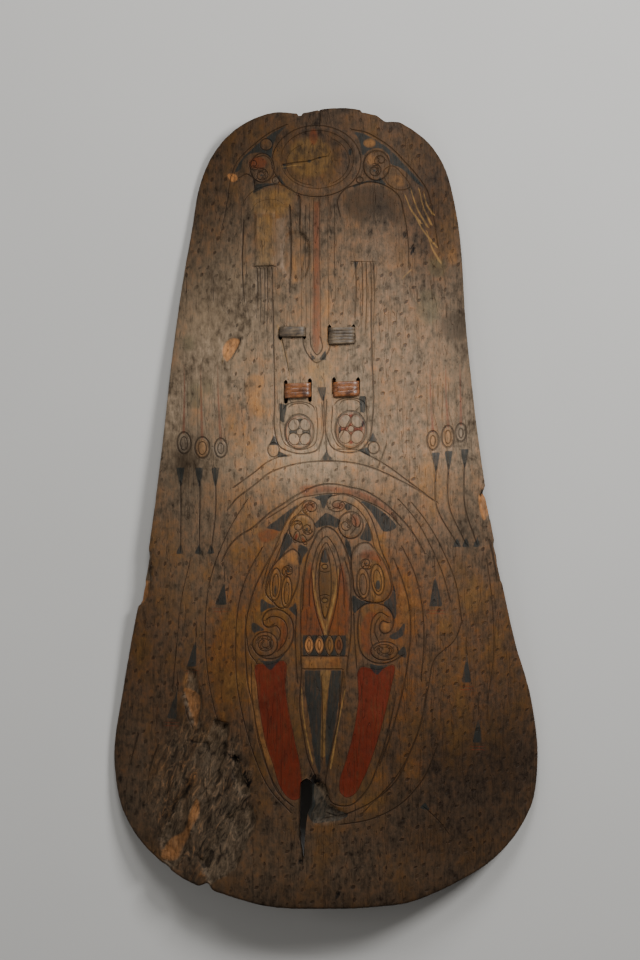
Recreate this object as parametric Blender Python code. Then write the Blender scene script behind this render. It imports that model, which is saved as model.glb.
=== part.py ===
"""Curved wooden war shield, carved from one board, with its cane handle.

Metres, +Z up. The shield lies on its back with its painted front up. +Y runs to its head and +X to
the right of someone who looks at its front. The origin is on the floor, under the middle of the box.
"""

import math
import random
from collections import namedtuple

import bmesh
import bpy
import numpy as np
from mathutils import Matrix, Vector

# The board.
HEIGHT = 0.800
WIDTH = 0.4256
BOARD_THICKNESS = 0.012
RIM_THICKNESS = 0.009
THINNING_BAND = 0.030
RIM_ROUNDING = 0.0028
SHOULDER_RADIUS = 0.250
FOOT_RADIUS = 0.430
ARCH_RISE = 0.012
REST_DEPTH = 0.0013

# The handle: two cane loops side by side on the back.
HANDLE_ACROSS = -0.007
HANDLE_UP = 0.146
LOOP_SPACING = 0.047
LOOP_LENGTH = 0.124
LOOP_CANE = 0.0070
FINGER_GAP = 0.0210
LOOP_BEND_RADIUS = 0.0115
LOOP_CLEARANCE = 0.0005

# The lashings: split cane, through two slots in the board and round a leg of a loop.
LASHING_SPACING = 0.057
LASHING_SPAN = 0.024
STRAP_THICKNESS = 0.0018
STRAP_BULGE = 0.0012
STRAP_CLEARANCE = 0.0004
SLOT_WIDTH = 0.0036
SLOT_END_CLEARANCE = 0.001
SLOT_CUTTER_HEIGHT = 0.048

# How far a lashing's middle stands off the cane's corners and off a slot's rim, as shares of its
# middle's distance from the board.
OFF_CANE_CORNER = 1.6
OFF_SLOT_RIM = 0.4

# How wide a lashing's inside and its edges are, as shares of its whole width.
STRAP_INSIDE_SHARE = 0.96
STRAP_EDGE_SHARE = 0.985

# Fineness of the faceted solids.
CELLS_ACROSS = 20
CELLS_ALONG = 40
OUTLINE_STEPS = 8
RIM_SEGMENTS = 2
LOOP_STEPS_STRAIGHT = 5
LOOP_STEPS_BEND = 6
LOOP_SIDES = 8
LASHING_STEPS = 2

# Edges of the board that turn more than this are rounded.
ROUNDED_EDGE_ANGLE = math.radians(50)

# Where the board rests, as shares of half its height, and where it is arched most.
SHOULDER_STATION = 0.75
MIDDLE_STATION = 0.05
FOOT_STATION = -0.64

# Where the rim's height is looked at, as shares of half the height, when the board is set level.
RIM_STATIONS = np.linspace(-0.9, 0.9, 181)
LEVELLING_ROUNDS = 3

# The outline, as shares of half the width and half the height, clockwise from the left shoulder.
HEAD_EDGE = (
    (-0.503, 0.909), (-0.432, 0.946), (-0.334, 0.976), (-0.235, 0.990), (-0.122, 0.987),
    (0.005, 0.998), (0.080, 1.000), (0.188, 0.993), (0.329, 0.971), (0.423, 0.943),
)
RIGHT_EDGE = (
    (0.498, 0.909), (0.573, 0.843), (0.616, 0.750), (0.667, 0.429), (0.724, 0.154),
    (0.799, -0.096), (0.891, -0.331), (0.968, -0.476), (1.000, -0.638), (0.977, -0.734),
    (0.914, -0.803),
)
FOOT_EDGE = (
    (0.827, -0.860), (0.741, -0.898), (0.633, -0.931), (0.503, -0.964), (0.385, -0.986),
    (0.254, -0.995), (0.000, -1.000), (-0.287, -0.993), (-0.479, -0.965), (-0.663, -0.929),
    (-0.780, -0.883),
)
LEFT_EDGE = (
    (-0.846, -0.849), (-0.912, -0.803), (-0.959, -0.751), (-0.996, -0.638), (-0.954, -0.453),
    (-0.900, -0.291), (-0.846, -0.143), (-0.771, 0.150), (-0.726, 0.369), (-0.667, 0.594),
    (-0.630, 0.706), (-0.602, 0.796), (-0.569, 0.849),
)

# Damage that reaches through the board, as outlines in shares of half the width and half the height.
BREAKS = {
    "through_slot": ((-0.122, -0.681), (-0.060, -0.680), (-0.062, -0.742), (-0.092, -0.768),
                     (-0.098, -0.824), (-0.124, -0.826), (-0.130, -0.762)),
    "head_step": ((0.162, 1.030), (0.162, 0.989), (0.236, 0.982), (0.272, 0.967), (0.330, 1.030)),
    "head_notch": ((-0.134, 1.030), (-0.128, 0.981), (-0.116, 0.982), (-0.108, 1.030)),
    "foot_notch": ((-0.600, -1.020), (-0.584, -0.938), (-0.560, -0.932), (-0.480, -1.020)),
}

# Places where layers of wood have split off the front. Each corner is across and along in shares of
# half the width and half the height, and deep in shares of the board's thickness.
SPLIT_OFF = {
    "pale_scar": ((-0.658, -0.401, 0.25), (-0.611, -0.411, 0.35), (-0.592, -0.481, 0.40),
                  (-0.597, -0.546, 0.10), (-0.639, -0.536, 0.30), (-0.667, -0.471, 0.35)),
    "rot_valley": ((-0.526, -0.531, 0.30), (-0.461, -0.541, 0.50), (-0.470, -0.621, 0.45),
                   (-0.526, -0.706, 0.35), (-0.611, -0.806, 0.20), (-0.648, -0.796, 0.25),
                   (-0.578, -0.681, 0.50), (-0.564, -0.591, 0.45)),
    "rot_hollow": ((-0.440, -0.600, 0.20), (-0.404, -0.651, 0.40), (-0.357, -0.716, 0.30),
                   (-0.404, -0.722, 0.50), (-0.446, -0.671, 0.40)),
    "rot_channel": ((-0.714, -0.759, 0.20), (-0.668, -0.712, 0.50), (-0.640, -0.830, 0.60),
                    (-0.668, -0.866, 0.60), (-0.705, -0.900, 0.70), (-0.761, -0.895, 0.60),
                    (-0.785, -0.826, 0.50)),
    "rot_slope": ((-0.357, -0.736, 0.10), (-0.329, -0.781, 0.35), (-0.423, -0.901, 0.40),
                  (-0.545, -0.946, 0.50), (-0.592, -0.885, 0.45), (-0.470, -0.776, 0.40)),
    "slot_shelf": ((-0.055, -0.681, 0.30), (0.000, -0.696, 0.35), (0.019, -0.746, 0.45),
                   (0.103, -0.764, 0.10), (0.094, -0.779, 0.10), (0.009, -0.786, 0.40),
                   (-0.055, -0.786, 0.50)),
    "left_edge_split": ((-0.826, -0.111, 0.45), (-0.826, -0.176, 0.50), (-0.846, -0.231, 0.40),
                        (-0.900, -0.250, 0.20), (-0.910, -0.200, 0.50), (-0.870, -0.140, 0.60)),
    "right_edge_chip": ((0.728, 0.044, 0.60), (0.770, 0.052, 0.70), (0.810, -0.028, 0.45),
                        (0.775, -0.034, 0.20), (0.724, -0.006, 0.35)),
}

# Grooves, splits and pockets sunk into the front. Places and sizes are shares in the same way, and
# turns are in degrees.
Hollow = namedtuple("Hollow", "across along wide long deep turn")
HOLLOWS = {
    "slot_tail": Hollow(-0.122, -0.850, 0.022, 0.090, 0.60, 2.0),
    "head_pocket": Hollow(-0.146, 0.635, 0.045, 0.120, 0.30, 2.0),
    "head_groove": Hollow(-0.360, 0.610, 0.024, 0.190, 0.22, 2.0),
    "head_crack": Hollow(-0.030, 0.975, 0.014, 0.050, 0.60, 0.0),
    "tab_edge": Hollow(-0.290, 0.598, 0.110, 0.016, 0.18, 0.0),
}
HOLLOW_ROUGHNESS = 0.16

# Each lashing: how wide it is, in how many turns, and how far it sits off its even place.
Lashing = namedtuple("Lashing", "width turns shift_across shift_along")
LASHINGS = {
    "lashing_upper_left": (-1, 1, Lashing(0.0105, 1, -0.0030, 0.0010)),
    "lashing_upper_right": (1, 1, Lashing(0.0200, 5, -0.0010, -0.0020)),
    "lashing_lower_left": (-1, -1, Lashing(0.0190, 3, 0.0025, 0.0005)),
    "lashing_lower_right": (1, -1, Lashing(0.0195, 3, 0.0035, 0.0020)),
}

HALF_WIDTH = WIDTH / 2
HALF_HEIGHT = HEIGHT / 2

# What the rounding of the rim takes off the outline, at the sloping sides and at the ends.
ROUNDED_OFF_SIDE = 0.48 * RIM_ROUNDING
ROUNDED_OFF_END = 0.10 * RIM_ROUNDING


def clear_scene():
    """Remove whatever the open file holds."""
    for item in list(bpy.data.objects):
        bpy.data.objects.remove(item, do_unlink=True)


def material(name, colour, roughness):
    """A plain finish with one base colour."""
    finish = bpy.data.materials.new(name)
    finish.use_nodes = True
    shader = finish.node_tree.nodes["Principled BSDF"]
    shader.inputs["Base Color"].default_value = (*colour, 1.0)
    shader.inputs["Roughness"].default_value = roughness
    shader.inputs["Metallic"].default_value = 0.0
    return finish


def smooth_ring(points, steps):
    """Points along a smooth closed curve through the given ones, steps to each span.

    Each span is a cubic whose end slopes are weighted by how far the neighbours are.
    """
    ring = np.array(points, dtype=float)
    after = np.roll(ring, -1, axis=0)
    span = np.linalg.norm(after - ring, axis=1)[:, None]
    before = np.roll(span, 1, axis=0)
    slope_after = (after - ring) / span
    slope_before = np.roll(slope_after, 1, axis=0)
    slope = (slope_after * before + slope_before * span) / (span + before)
    pieces = []
    for step in range(steps):
        t = step / steps
        pieces.append(
            (2 * t**3 - 3 * t**2 + 1) * ring
            + (t**3 - 2 * t**2 + t) * slope * span
            + (3 * t**2 - 2 * t**3) * after
            + (t**3 - t**2) * np.roll(slope, -1, axis=0) * span
        )
    return np.stack(pieces, axis=1).reshape(-1, 2)


def outline():
    """The outline in metres, and the places in it where the four edges begin."""
    edges = (HEAD_EDGE, RIGHT_EDGE, FOOT_EDGE, LEFT_EDGE)
    ring = smooth_ring([point for edge in edges for point in edge], OUTLINE_STEPS)
    low, high = ring.min(axis=0), ring.max(axis=0)
    size = (HALF_WIDTH + ROUNDED_OFF_SIDE, HALF_HEIGHT + ROUNDED_OFF_END)
    ring = (ring - (low + high) / 2) / ((high - low) / 2) * size
    starts = np.cumsum([0] + [len(edge) * OUTLINE_STEPS for edge in edges])
    return ring, starts


RING, EDGE_STARTS = outline()


def edge_samples(number, count):
    """One of the four edges as evenly spaced points, from its first corner to its last."""
    first, last = EDGE_STARTS[number], EDGE_STARTS[number + 1]
    run = RING[np.arange(first, last + 1) % len(RING)]
    lengths = np.concatenate(([0.0], np.cumsum(np.linalg.norm(np.diff(run, axis=0), axis=1))))
    places = np.linspace(0.0, lengths[-1], count)
    return np.stack([np.interp(places, lengths, run[:, axis]) for axis in (0, 1)], axis=1)


def half_width_at(y):
    """Half the width of the outline at a height y."""
    right = RING[RING[:, 0] > 0]
    left = RING[RING[:, 0] < 0]
    widths = []
    for side in (right, left):
        order = np.argsort(side[:, 1])
        widths.append(abs(np.interp(y, side[order, 1], side[order, 0])))
    return sum(widths) / 2


def radius_at(y):
    """Radius of the curve across the front, which opens towards the foot."""
    share = (SHOULDER_STATION - y / HALF_HEIGHT) / (SHOULDER_STATION - FOOT_STATION)
    return SHOULDER_RADIUS + (FOOT_RADIUS - SHOULDER_RADIUS) * share


def sag_at(x, y):
    """How far the front at x lies below the crown of its curve."""
    radius = radius_at(y)
    return radius - np.sqrt(radius**2 - np.square(x))


def rim_drop(y):
    """Height of the crown above the underside of the rim at the same y."""
    half = half_width_at(y)
    slope = half / radius_at(y)
    return sag_at(half, y) + RIM_THICKNESS * math.sqrt(1 - slope**2)


def crown_curve():
    """The parabola in y through the crown's heights at the two resting stations and the middle.

    It is then lowered along a straight line, so that the lowest rim of each half is at zero.
    """
    stations = np.array((FOOT_STATION, MIDDLE_STATION, SHOULDER_STATION)) * HALF_HEIGHT
    heights = np.array([rim_drop(y) for y in stations]) + (0.0, ARCH_RISE, 0.0)
    curve = np.polyfit(stations, heights, 2)
    along = RIM_STATIONS * HALF_HEIGHT
    drops = np.array([rim_drop(y) for y in along])
    for _ in range(LEVELLING_ROUNDS):
        rim = np.polyval(curve, along) - drops
        foot_half, head_half = along < 0, along > 0
        foot_low = np.argmin(np.where(foot_half, rim, np.inf))
        head_low = np.argmin(np.where(head_half, rim, np.inf))
        line = np.polyfit(along[[foot_low, head_low]], rim[[foot_low, head_low]], 1)
        curve = curve - np.array((0.0, *line))
    return curve


CROWN = crown_curve()


def front_z(x, y):
    """Height of the front surface."""
    return np.polyval(CROWN, y) - sag_at(x, y)


def back_z(x, y):
    """Height of the back surface, inside the thinner band along the rim."""
    radius = radius_at(y) - BOARD_THICKNESS
    return np.polyval(CROWN, y) - radius_at(y) + np.sqrt(radius**2 - np.square(x))


def place(across, along):
    """A point of the plan from shares of half the width and half the height."""
    return across * HALF_WIDTH, along * HALF_HEIGHT


def new_object(name, bm, finish=None):
    """A Blender object from a bmesh, with its faces made to point outwards."""
    bmesh.ops.recalc_face_normals(bm, faces=bm.faces)
    mesh = bpy.data.meshes.new(name)
    bm.to_mesh(mesh)
    bm.free()
    item = bpy.data.objects.new(name, mesh)
    bpy.context.scene.collection.objects.link(item)
    if finish:
        mesh.materials.append(finish)
        mesh.shade_smooth()
    return item


def new_cutter(name, bm, cutters):
    """An object that only cuts, kept in the collection of cutters."""
    item = new_object(name, bm)
    item.hide_render = True
    item.display_type = "WIRE"
    bpy.context.scene.collection.objects.unlink(item)
    cutters.objects.link(item)
    return item


def add_break(name, shares, cutters):
    """A prism that cuts an outline right through the board."""
    bm = bmesh.new()
    points = [place(*share) for share in shares]
    depth = HALF_WIDTH
    ring = [bm.verts.new((x, y, -depth)) for x, y in points]
    base = bm.faces.new(ring)
    grown = bmesh.ops.extrude_face_region(bm, geom=[base])
    raised = [item for item in grown["geom"] if isinstance(item, bmesh.types.BMVert)]
    bmesh.ops.translate(bm, verts=raised, vec=(0, 0, 2 * depth))
    return new_cutter(name, bm, cutters)


def add_split(name, corners, cutters):
    """A cut with an uneven floor that follows the front, a given depth below it at each corner."""
    bm = bmesh.new()
    plan = [place(across, along) for across, along, _ in corners]
    floor = [
        bm.verts.new((x, y, front_z(x, y) - deep * BOARD_THICKNESS))
        for (x, y), (_, _, deep) in zip(plan, corners)
    ]
    roof = [bm.verts.new((x, y, front_z(x, y) + BOARD_THICKNESS)) for x, y in plan]
    bm.faces.new(floor)
    bm.faces.new(roof[::-1])
    for i in range(len(plan)):
        j = (i + 1) % len(plan)
        bm.faces.new((floor[j], floor[i], roof[i], roof[j]))
    bmesh.ops.triangulate(bm, faces=bm.faces)
    return new_cutter(name, bm, cutters)


def add_hollow(name, hollow, seed, cutters):
    """A rough ellipsoid sunk into the front, turned with the grain that it follows."""
    bm = bmesh.new()
    bmesh.ops.create_icosphere(bm, subdivisions=2, radius=1.0)
    rough = random.Random(seed)
    for vert in bm.verts:
        vert.co *= 1 + rough.uniform(-HOLLOW_ROUGHNESS, HOLLOW_ROUGHNESS)
    x, y = place(hollow.across, hollow.along)
    size = (
        hollow.wide * HALF_WIDTH,
        hollow.long * HALF_HEIGHT / 2,
        hollow.deep * BOARD_THICKNESS,
    )
    lean = math.asin(x / radius_at(y))
    bm.transform(
        Matrix.Translation((x, y, front_z(x, y)))
        @ Matrix.Rotation(lean, 4, "Y")
        @ Matrix.Rotation(math.radians(hollow.turn), 4, "Z")
        @ Matrix.Diagonal((*size, 1.0))
    )
    return new_cutter(name, bm, cutters)


def add_slot(name, x, y, length, cutters):
    """A slot through the board for one run of a lashing."""
    bm = bmesh.new()
    bmesh.ops.create_cube(bm, size=1.0)
    bm.transform(
        Matrix.Translation((x, y, (front_z(x, y) + back_z(x, y)) / 2))
        @ Matrix.Diagonal((SLOT_WIDTH, length, SLOT_CUTTER_HEIGHT, 1.0))
    )
    return new_cutter(name, bm, cutters)


def patch_point(u, v, edges):
    """A point of the plan from two parameters, blended from the four edges.

    It is the sum of the two straight blends of opposite edges, less the blend of the corners.
    """
    head, right, foot, left = edges
    column = round(u * CELLS_ACROSS)
    row = round(v * CELLS_ALONG)
    between_ends = (1 - v) * foot[column] + v * head[column]
    between_sides = (1 - u) * left[row] + u * right[row]
    corners = (
        (1 - u) * (1 - v) * foot[0] + u * (1 - v) * foot[-1]
        + (1 - u) * v * head[0] + u * v * head[-1]
    )
    return between_ends + between_sides - corners


def make_board(finish, cutters):
    """The board: a curved sheet, thickened, rounded along the rim, then cut and worn."""
    edges = (
        edge_samples(0, CELLS_ACROSS + 1),
        edge_samples(1, CELLS_ALONG + 1)[::-1],
        edge_samples(2, CELLS_ACROSS + 1)[::-1],
        edge_samples(3, CELLS_ALONG + 1),
    )
    bm = bmesh.new()
    bmesh.ops.create_grid(bm, x_segments=CELLS_ACROSS, y_segments=CELLS_ALONG, size=1.0)
    for vert in bm.verts:
        x, y = patch_point((vert.co.x + 1) / 2, (vert.co.y + 1) / 2, edges)
        vert.co = (x, y, front_z(x, y))
    rim_distance = {
        vert.index: np.linalg.norm(RING - (vert.co.x, vert.co.y), axis=1).min() for vert in bm.verts
    }
    board = new_object("board", bm, finish)
    if board.data.polygons[0].normal.z < 0:
        board.data.flip_normals()

    body = board.vertex_groups.new(name="full_thickness")
    for index, distance in rim_distance.items():
        body.add([index], min(1.0, distance / THINNING_BAND), "REPLACE")

    shell = board.modifiers.new("thickness", "SOLIDIFY")
    shell.thickness = BOARD_THICKNESS
    shell.offset = -1.0
    shell.vertex_group = body.name
    shell.thickness_vertex_group = RIM_THICKNESS / BOARD_THICKNESS
    shell.use_quality_normals = True

    rounding = board.modifiers.new("rounded_rim", "BEVEL")
    rounding.width = RIM_ROUNDING
    rounding.segments = RIM_SEGMENTS
    rounding.limit_method = "ANGLE"
    rounding.angle_limit = ROUNDED_EDGE_ANGLE

    damage = board.modifiers.new("slots_and_damage", "BOOLEAN")
    damage.operation = "DIFFERENCE"
    damage.solver = "EXACT"
    damage.operand_type = "COLLECTION"
    damage.collection = cutters
    return board


def sweep_closed(path, profile, name, finish):
    """A closed ring: one profile of 2-D points set square to a closed path at each of its points.

    path holds (point, outward, sideways) for each station, and profile (along outward, sideways).
    """
    bm = bmesh.new()
    rows = []
    for point, outward, sideways in path:
        rows.append([bm.verts.new(point + outward * a + sideways * b) for a, b in profile])
    for row, after in zip(rows, rows[1:] + rows[:1]):
        for i in range(len(profile)):
            j = (i + 1) % len(profile)
            bm.faces.new((row[i], row[j], after[j], after[i]))
    return new_object(name, bm, finish)


def loop_frame(x):
    """Where a loop's leg lies: its middle, the direction along it and the direction off the back."""
    half = LOOP_LENGTH / 2
    low = Vector((x, HANDLE_UP - half, back_z(x, HANDLE_UP - half)))
    high = Vector((x, HANDLE_UP + half, back_z(x, HANDLE_UP + half)))
    along = (high - low).normalized()
    off = Vector((0, along.z, -along.y))
    leg = (low + high) / 2 + off * (LOOP_CLEARANCE + LOOP_CANE / 2)
    return leg, along, off


def make_loop(name, side, finish):
    """A closed cane loop: a leg along the back, two rounded ends and a grip beside it."""
    x = HANDLE_ACROSS + side * LOOP_SPACING / 2
    leg, along, off = loop_frame(x)
    depth = FINGER_GAP + LOOP_CANE
    straight = LOOP_LENGTH / 2 - LOOP_CANE / 2 - LOOP_BEND_RADIUS
    inset = depth - 2 * LOOP_BEND_RADIUS
    corners = (
        (straight, LOOP_BEND_RADIUS, -math.pi / 2),
        (straight, LOOP_BEND_RADIUS + inset, 0.0),
        (-straight, LOOP_BEND_RADIUS + inset, math.pi / 2),
        (-straight, LOOP_BEND_RADIUS, math.pi),
    )
    flat = []
    for number, (run, rise, start) in enumerate(corners):
        for step in range(LOOP_STEPS_BEND):
            angle = start + math.pi / 2 * step / (LOOP_STEPS_BEND - 1)
            outward = (math.cos(angle), math.sin(angle))
            flat.append((run + outward[0] * LOOP_BEND_RADIUS, rise + outward[1] * LOOP_BEND_RADIUS,
                         outward))
        if number in (1, 3):
            outward = (0.0, 1.0 if number == 1 else -1.0)
            end = -straight if number == 1 else straight
            height = depth if number == 1 else 0.0
            for step in range(1, LOOP_STEPS_STRAIGHT):
                share = step / LOOP_STEPS_STRAIGHT
                flat.append((run + (end - run) * share, height, outward))
    path = [
        (leg + along * a + off * b, along * out[0] + off * out[1], Vector((1, 0, 0)))
        for a, b, out in flat
    ]
    radius = LOOP_CANE / 2
    profile = [
        (radius * math.cos(angle), radius * math.sin(angle))
        for angle in (math.tau * k / LOOP_SIDES for k in range(LOOP_SIDES))
    ]
    return sweep_closed(path, profile, name, finish)


def lashing_ring(x, y, loop_x):
    """Closed path of a lashing in the plane across the board, with its outward directions."""
    leg, along, off = loop_frame(loop_x)
    leg_z = (leg + along * (y - leg.y) / along.y).z
    half = LASHING_SPAN / 2
    lift = STRAP_CLEARANCE + STRAP_THICKNESS / 2
    under = leg_z - LOOP_CANE / 2 - lift
    low_left, low_right = back_z(x - half, y), back_z(x + half, y)
    top_left, top_right = front_z(x - half, y), front_z(x + half, y)
    corner = lift + STRAP_THICKNESS / 2
    rim = lift * OFF_SLOT_RIM
    cane_side = LOOP_CANE / 2 + lift * OFF_CANE_CORNER
    points = (
        (x - half, (top_left + low_left) / 2),
        (x - half, top_left + rim),
        (x - half + corner, top_left + corner),
        (x, front_z(x, y) + lift + STRAP_BULGE),
        (x + half - corner, top_right + corner),
        (x + half, top_right + rim),
        (x + half, (top_right + low_right) / 2),
        (x + half, low_right - lift),
        (loop_x + cane_side, under + LOOP_CANE / 2),
        (loop_x, under),
        (loop_x - cane_side, under + LOOP_CANE / 2),
        (x - half, low_left - lift),
    )
    ring = smooth_ring(points, LASHING_STEPS)
    ahead = np.roll(ring, -1, axis=0) - np.roll(ring, 1, axis=0)
    path = []
    for (px, pz), (dx, dz) in zip(ring, ahead):
        outward = Vector((-dz, 0, dx)).normalized()
        path.append((Vector((px, y, pz)), outward, along))
    return path


def strap_profile(width, turns):
    """Cross-section of a lashing: flat inside, and one rounded swell to each turn outside."""
    half = STRAP_THICKNESS / 2
    edge = width / 2
    inside = edge * STRAP_INSIDE_SHARE
    profile = [(-half, -inside), (-half, inside)]
    for turn in range(turns):
        near = edge - width * turn / turns
        far = edge - width * (turn + 1) / turns
        profile.append((0.0, near * STRAP_EDGE_SHARE))
        profile.append((half, (near + far) / 2))
    profile.append((0.0, -edge * STRAP_EDGE_SHARE))
    return profile


def make_lashing(name, side, end, lashing, finish, cutters):
    """A lashing and the two slots that it runs through."""
    loop_x = HANDLE_ACROSS + side * LOOP_SPACING / 2
    x = loop_x + lashing.shift_across
    y = HANDLE_UP + end * LASHING_SPACING / 2 + lashing.shift_along
    for slot_name, shift in (("slot_left", -1), ("slot_right", 1)):
        length = lashing.width + 2 * SLOT_END_CLEARANCE
        add_slot(name + "_" + slot_name, x + shift * LASHING_SPAN / 2, y, length, cutters)
    profile = strap_profile(lashing.width, lashing.turns)
    return sweep_closed(lashing_ring(x, y, loop_x), profile, name, finish)


def lay_down(pieces, cutters, board):
    """Set everything on the floor, in the middle, and wear the rim flat where it rests."""
    bpy.context.view_layer.update()
    shaped = board.evaluated_get(bpy.context.evaluated_depsgraph_get())
    corners = np.array([tuple(vert.co) for vert in shaped.data.vertices])
    low, high = corners.min(axis=0), corners.max(axis=0)
    rest = bpy.data.objects.new("shield", None)
    bpy.context.scene.collection.objects.link(rest)
    rest.location = (-(low[0] + high[0]) / 2, -(low[1] + high[1]) / 2, -low[2] - REST_DEPTH)
    for item in (*pieces, *cutters.objects):
        item.parent = rest

    bm = bmesh.new()
    bmesh.ops.create_cube(bm, size=1.0)
    depth = BOARD_THICKNESS
    bm.transform(
        Matrix.Translation((0, 0, -depth / 2)) @ Matrix.Diagonal((2 * WIDTH, 2 * HEIGHT, depth, 1.0))
    )
    floor = new_object("floor_cutter", bm)
    floor.hide_render = True
    floor.display_type = "WIRE"
    wear = board.modifiers.new("resting_flats", "BOOLEAN")
    wear.operation = "DIFFERENCE"
    wear.solver = "EXACT"
    wear.object = floor


def main():
    """Build the board, the two loops of the handle and the four lashings."""
    clear_scene()
    cutters = bpy.data.collections.new("cutters")
    bpy.context.scene.collection.children.link(cutters)
    wood = material("painted_wood", (0.130, 0.075, 0.040), 0.62)
    rattan = material("rattan", (0.200, 0.105, 0.045), 0.48)
    split_cane = material("split_cane", (0.240, 0.095, 0.040), 0.35)

    pieces = [make_board(wood, cutters)]
    for name, shares in BREAKS.items():
        add_break(name, shares, cutters)
    for name, corners in SPLIT_OFF.items():
        add_split(name, corners, cutters)
    for seed, (name, hollow) in enumerate(HOLLOWS.items()):
        add_hollow(name, hollow, seed, cutters)
    pieces.append(make_loop("handle_loop_left", -1, rattan))
    pieces.append(make_loop("handle_loop_right", 1, rattan))
    for name, (side, end, lashing) in LASHINGS.items():
        pieces.append(make_lashing(name, side, end, lashing, split_cane, cutters))
    lay_down(pieces, cutters, pieces[0])


main()
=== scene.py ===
"""Looks of the curved wooden war shield: worn paint on carved hardwood, with its cane handle.

Metres, +Z up. The shield lies on its back, painted front up, head towards +Y, seen from above.
"""

import math
from collections import namedtuple

import bpy
import numpy as np
from bpy.props import FloatProperty, FloatVectorProperty, PointerProperty
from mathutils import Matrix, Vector


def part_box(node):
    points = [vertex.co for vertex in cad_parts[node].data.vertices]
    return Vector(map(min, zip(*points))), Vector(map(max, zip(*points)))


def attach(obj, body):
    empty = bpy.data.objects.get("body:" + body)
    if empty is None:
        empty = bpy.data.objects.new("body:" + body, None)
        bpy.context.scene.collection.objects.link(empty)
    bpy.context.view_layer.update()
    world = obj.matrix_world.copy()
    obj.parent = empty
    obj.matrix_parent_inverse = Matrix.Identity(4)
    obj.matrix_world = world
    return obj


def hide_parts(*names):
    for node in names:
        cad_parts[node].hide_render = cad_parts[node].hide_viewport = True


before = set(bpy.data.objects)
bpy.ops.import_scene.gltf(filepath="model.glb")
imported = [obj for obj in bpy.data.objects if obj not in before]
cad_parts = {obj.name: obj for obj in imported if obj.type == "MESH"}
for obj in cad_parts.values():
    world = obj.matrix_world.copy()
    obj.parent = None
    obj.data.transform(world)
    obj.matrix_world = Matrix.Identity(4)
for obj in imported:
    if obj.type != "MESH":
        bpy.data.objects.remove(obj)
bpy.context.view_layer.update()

bl_info = {
    "name": "Curved wooden war shield",
    "version": (1, 0, 0),
    "blender": (4, 5, 0),
    "location": "3D View > Sidebar > Shield",
    "description": "Dresses the solids of a carved and painted shield",
    "category": "Object",
}

BODY = "root"

# The solids' own sizes, in metres.
HEIGHT = 0.800
WIDTH = 0.4256
BOARD_THICKNESS = 0.012
RIM_THICKNESS = 0.009
ROUNDED_OFF_SIDE = 0.0018
ROUNDED_OFF_END = 0.0003
THINNING_BAND = 0.030
SHOULDER_RADIUS = 0.250
FOOT_RADIUS = 0.430
ARCH_RISE = 0.012
HANDLE_ACROSS = -0.007
HANDLE_UP = 0.146
LOOP_SPACING = 0.047
LOOP_LENGTH = 0.124
LOOP_CANE = 0.0070
FINGER_GAP = 0.0210
LOOP_BEND_RADIUS = 0.0115
LOOP_CLEARANCE = 0.0005
LASHING_SPACING = 0.057
LASHING_SPAN = 0.024
STRAP_THICKNESS = 0.0018
STRAP_BULGE = 0.0012
STRAP_CLEARANCE = 0.0004
SLOT_WIDTH = 0.0036
SLOT_END_CLEARANCE = 0.001
SHOULDER_STATION = 0.75
MIDDLE_STATION = 0.05
FOOT_STATION = -0.64

HALF_WIDTH = WIDTH / 2
HALF_HEIGHT = HEIGHT / 2

# The outline, as shares of half the width and half the height, clockwise from the left shoulder.
HEAD_EDGE = (
    (-0.503, 0.909), (-0.432, 0.946), (-0.334, 0.976), (-0.235, 0.990), (-0.122, 0.987),
    (0.005, 0.998), (0.080, 1.000), (0.188, 0.993), (0.329, 0.971), (0.423, 0.943),
)
RIGHT_EDGE = (
    (0.498, 0.909), (0.573, 0.843), (0.616, 0.750), (0.667, 0.429), (0.724, 0.154),
    (0.799, -0.096), (0.891, -0.331), (0.968, -0.476), (1.000, -0.638), (0.977, -0.734),
    (0.914, -0.803),
)
FOOT_EDGE = (
    (0.827, -0.860), (0.741, -0.898), (0.633, -0.931), (0.503, -0.964), (0.385, -0.986),
    (0.254, -0.995), (0.000, -1.000), (-0.287, -0.993), (-0.479, -0.965), (-0.663, -0.929),
    (-0.780, -0.883),
)
LEFT_EDGE = (
    (-0.846, -0.849), (-0.912, -0.803), (-0.959, -0.751), (-0.996, -0.638), (-0.954, -0.453),
    (-0.900, -0.291), (-0.846, -0.143), (-0.771, 0.150), (-0.726, 0.369), (-0.667, 0.594),
    (-0.630, 0.706), (-0.602, 0.796), (-0.569, 0.849),
)
OUTLINE_STEPS = 8

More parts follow.
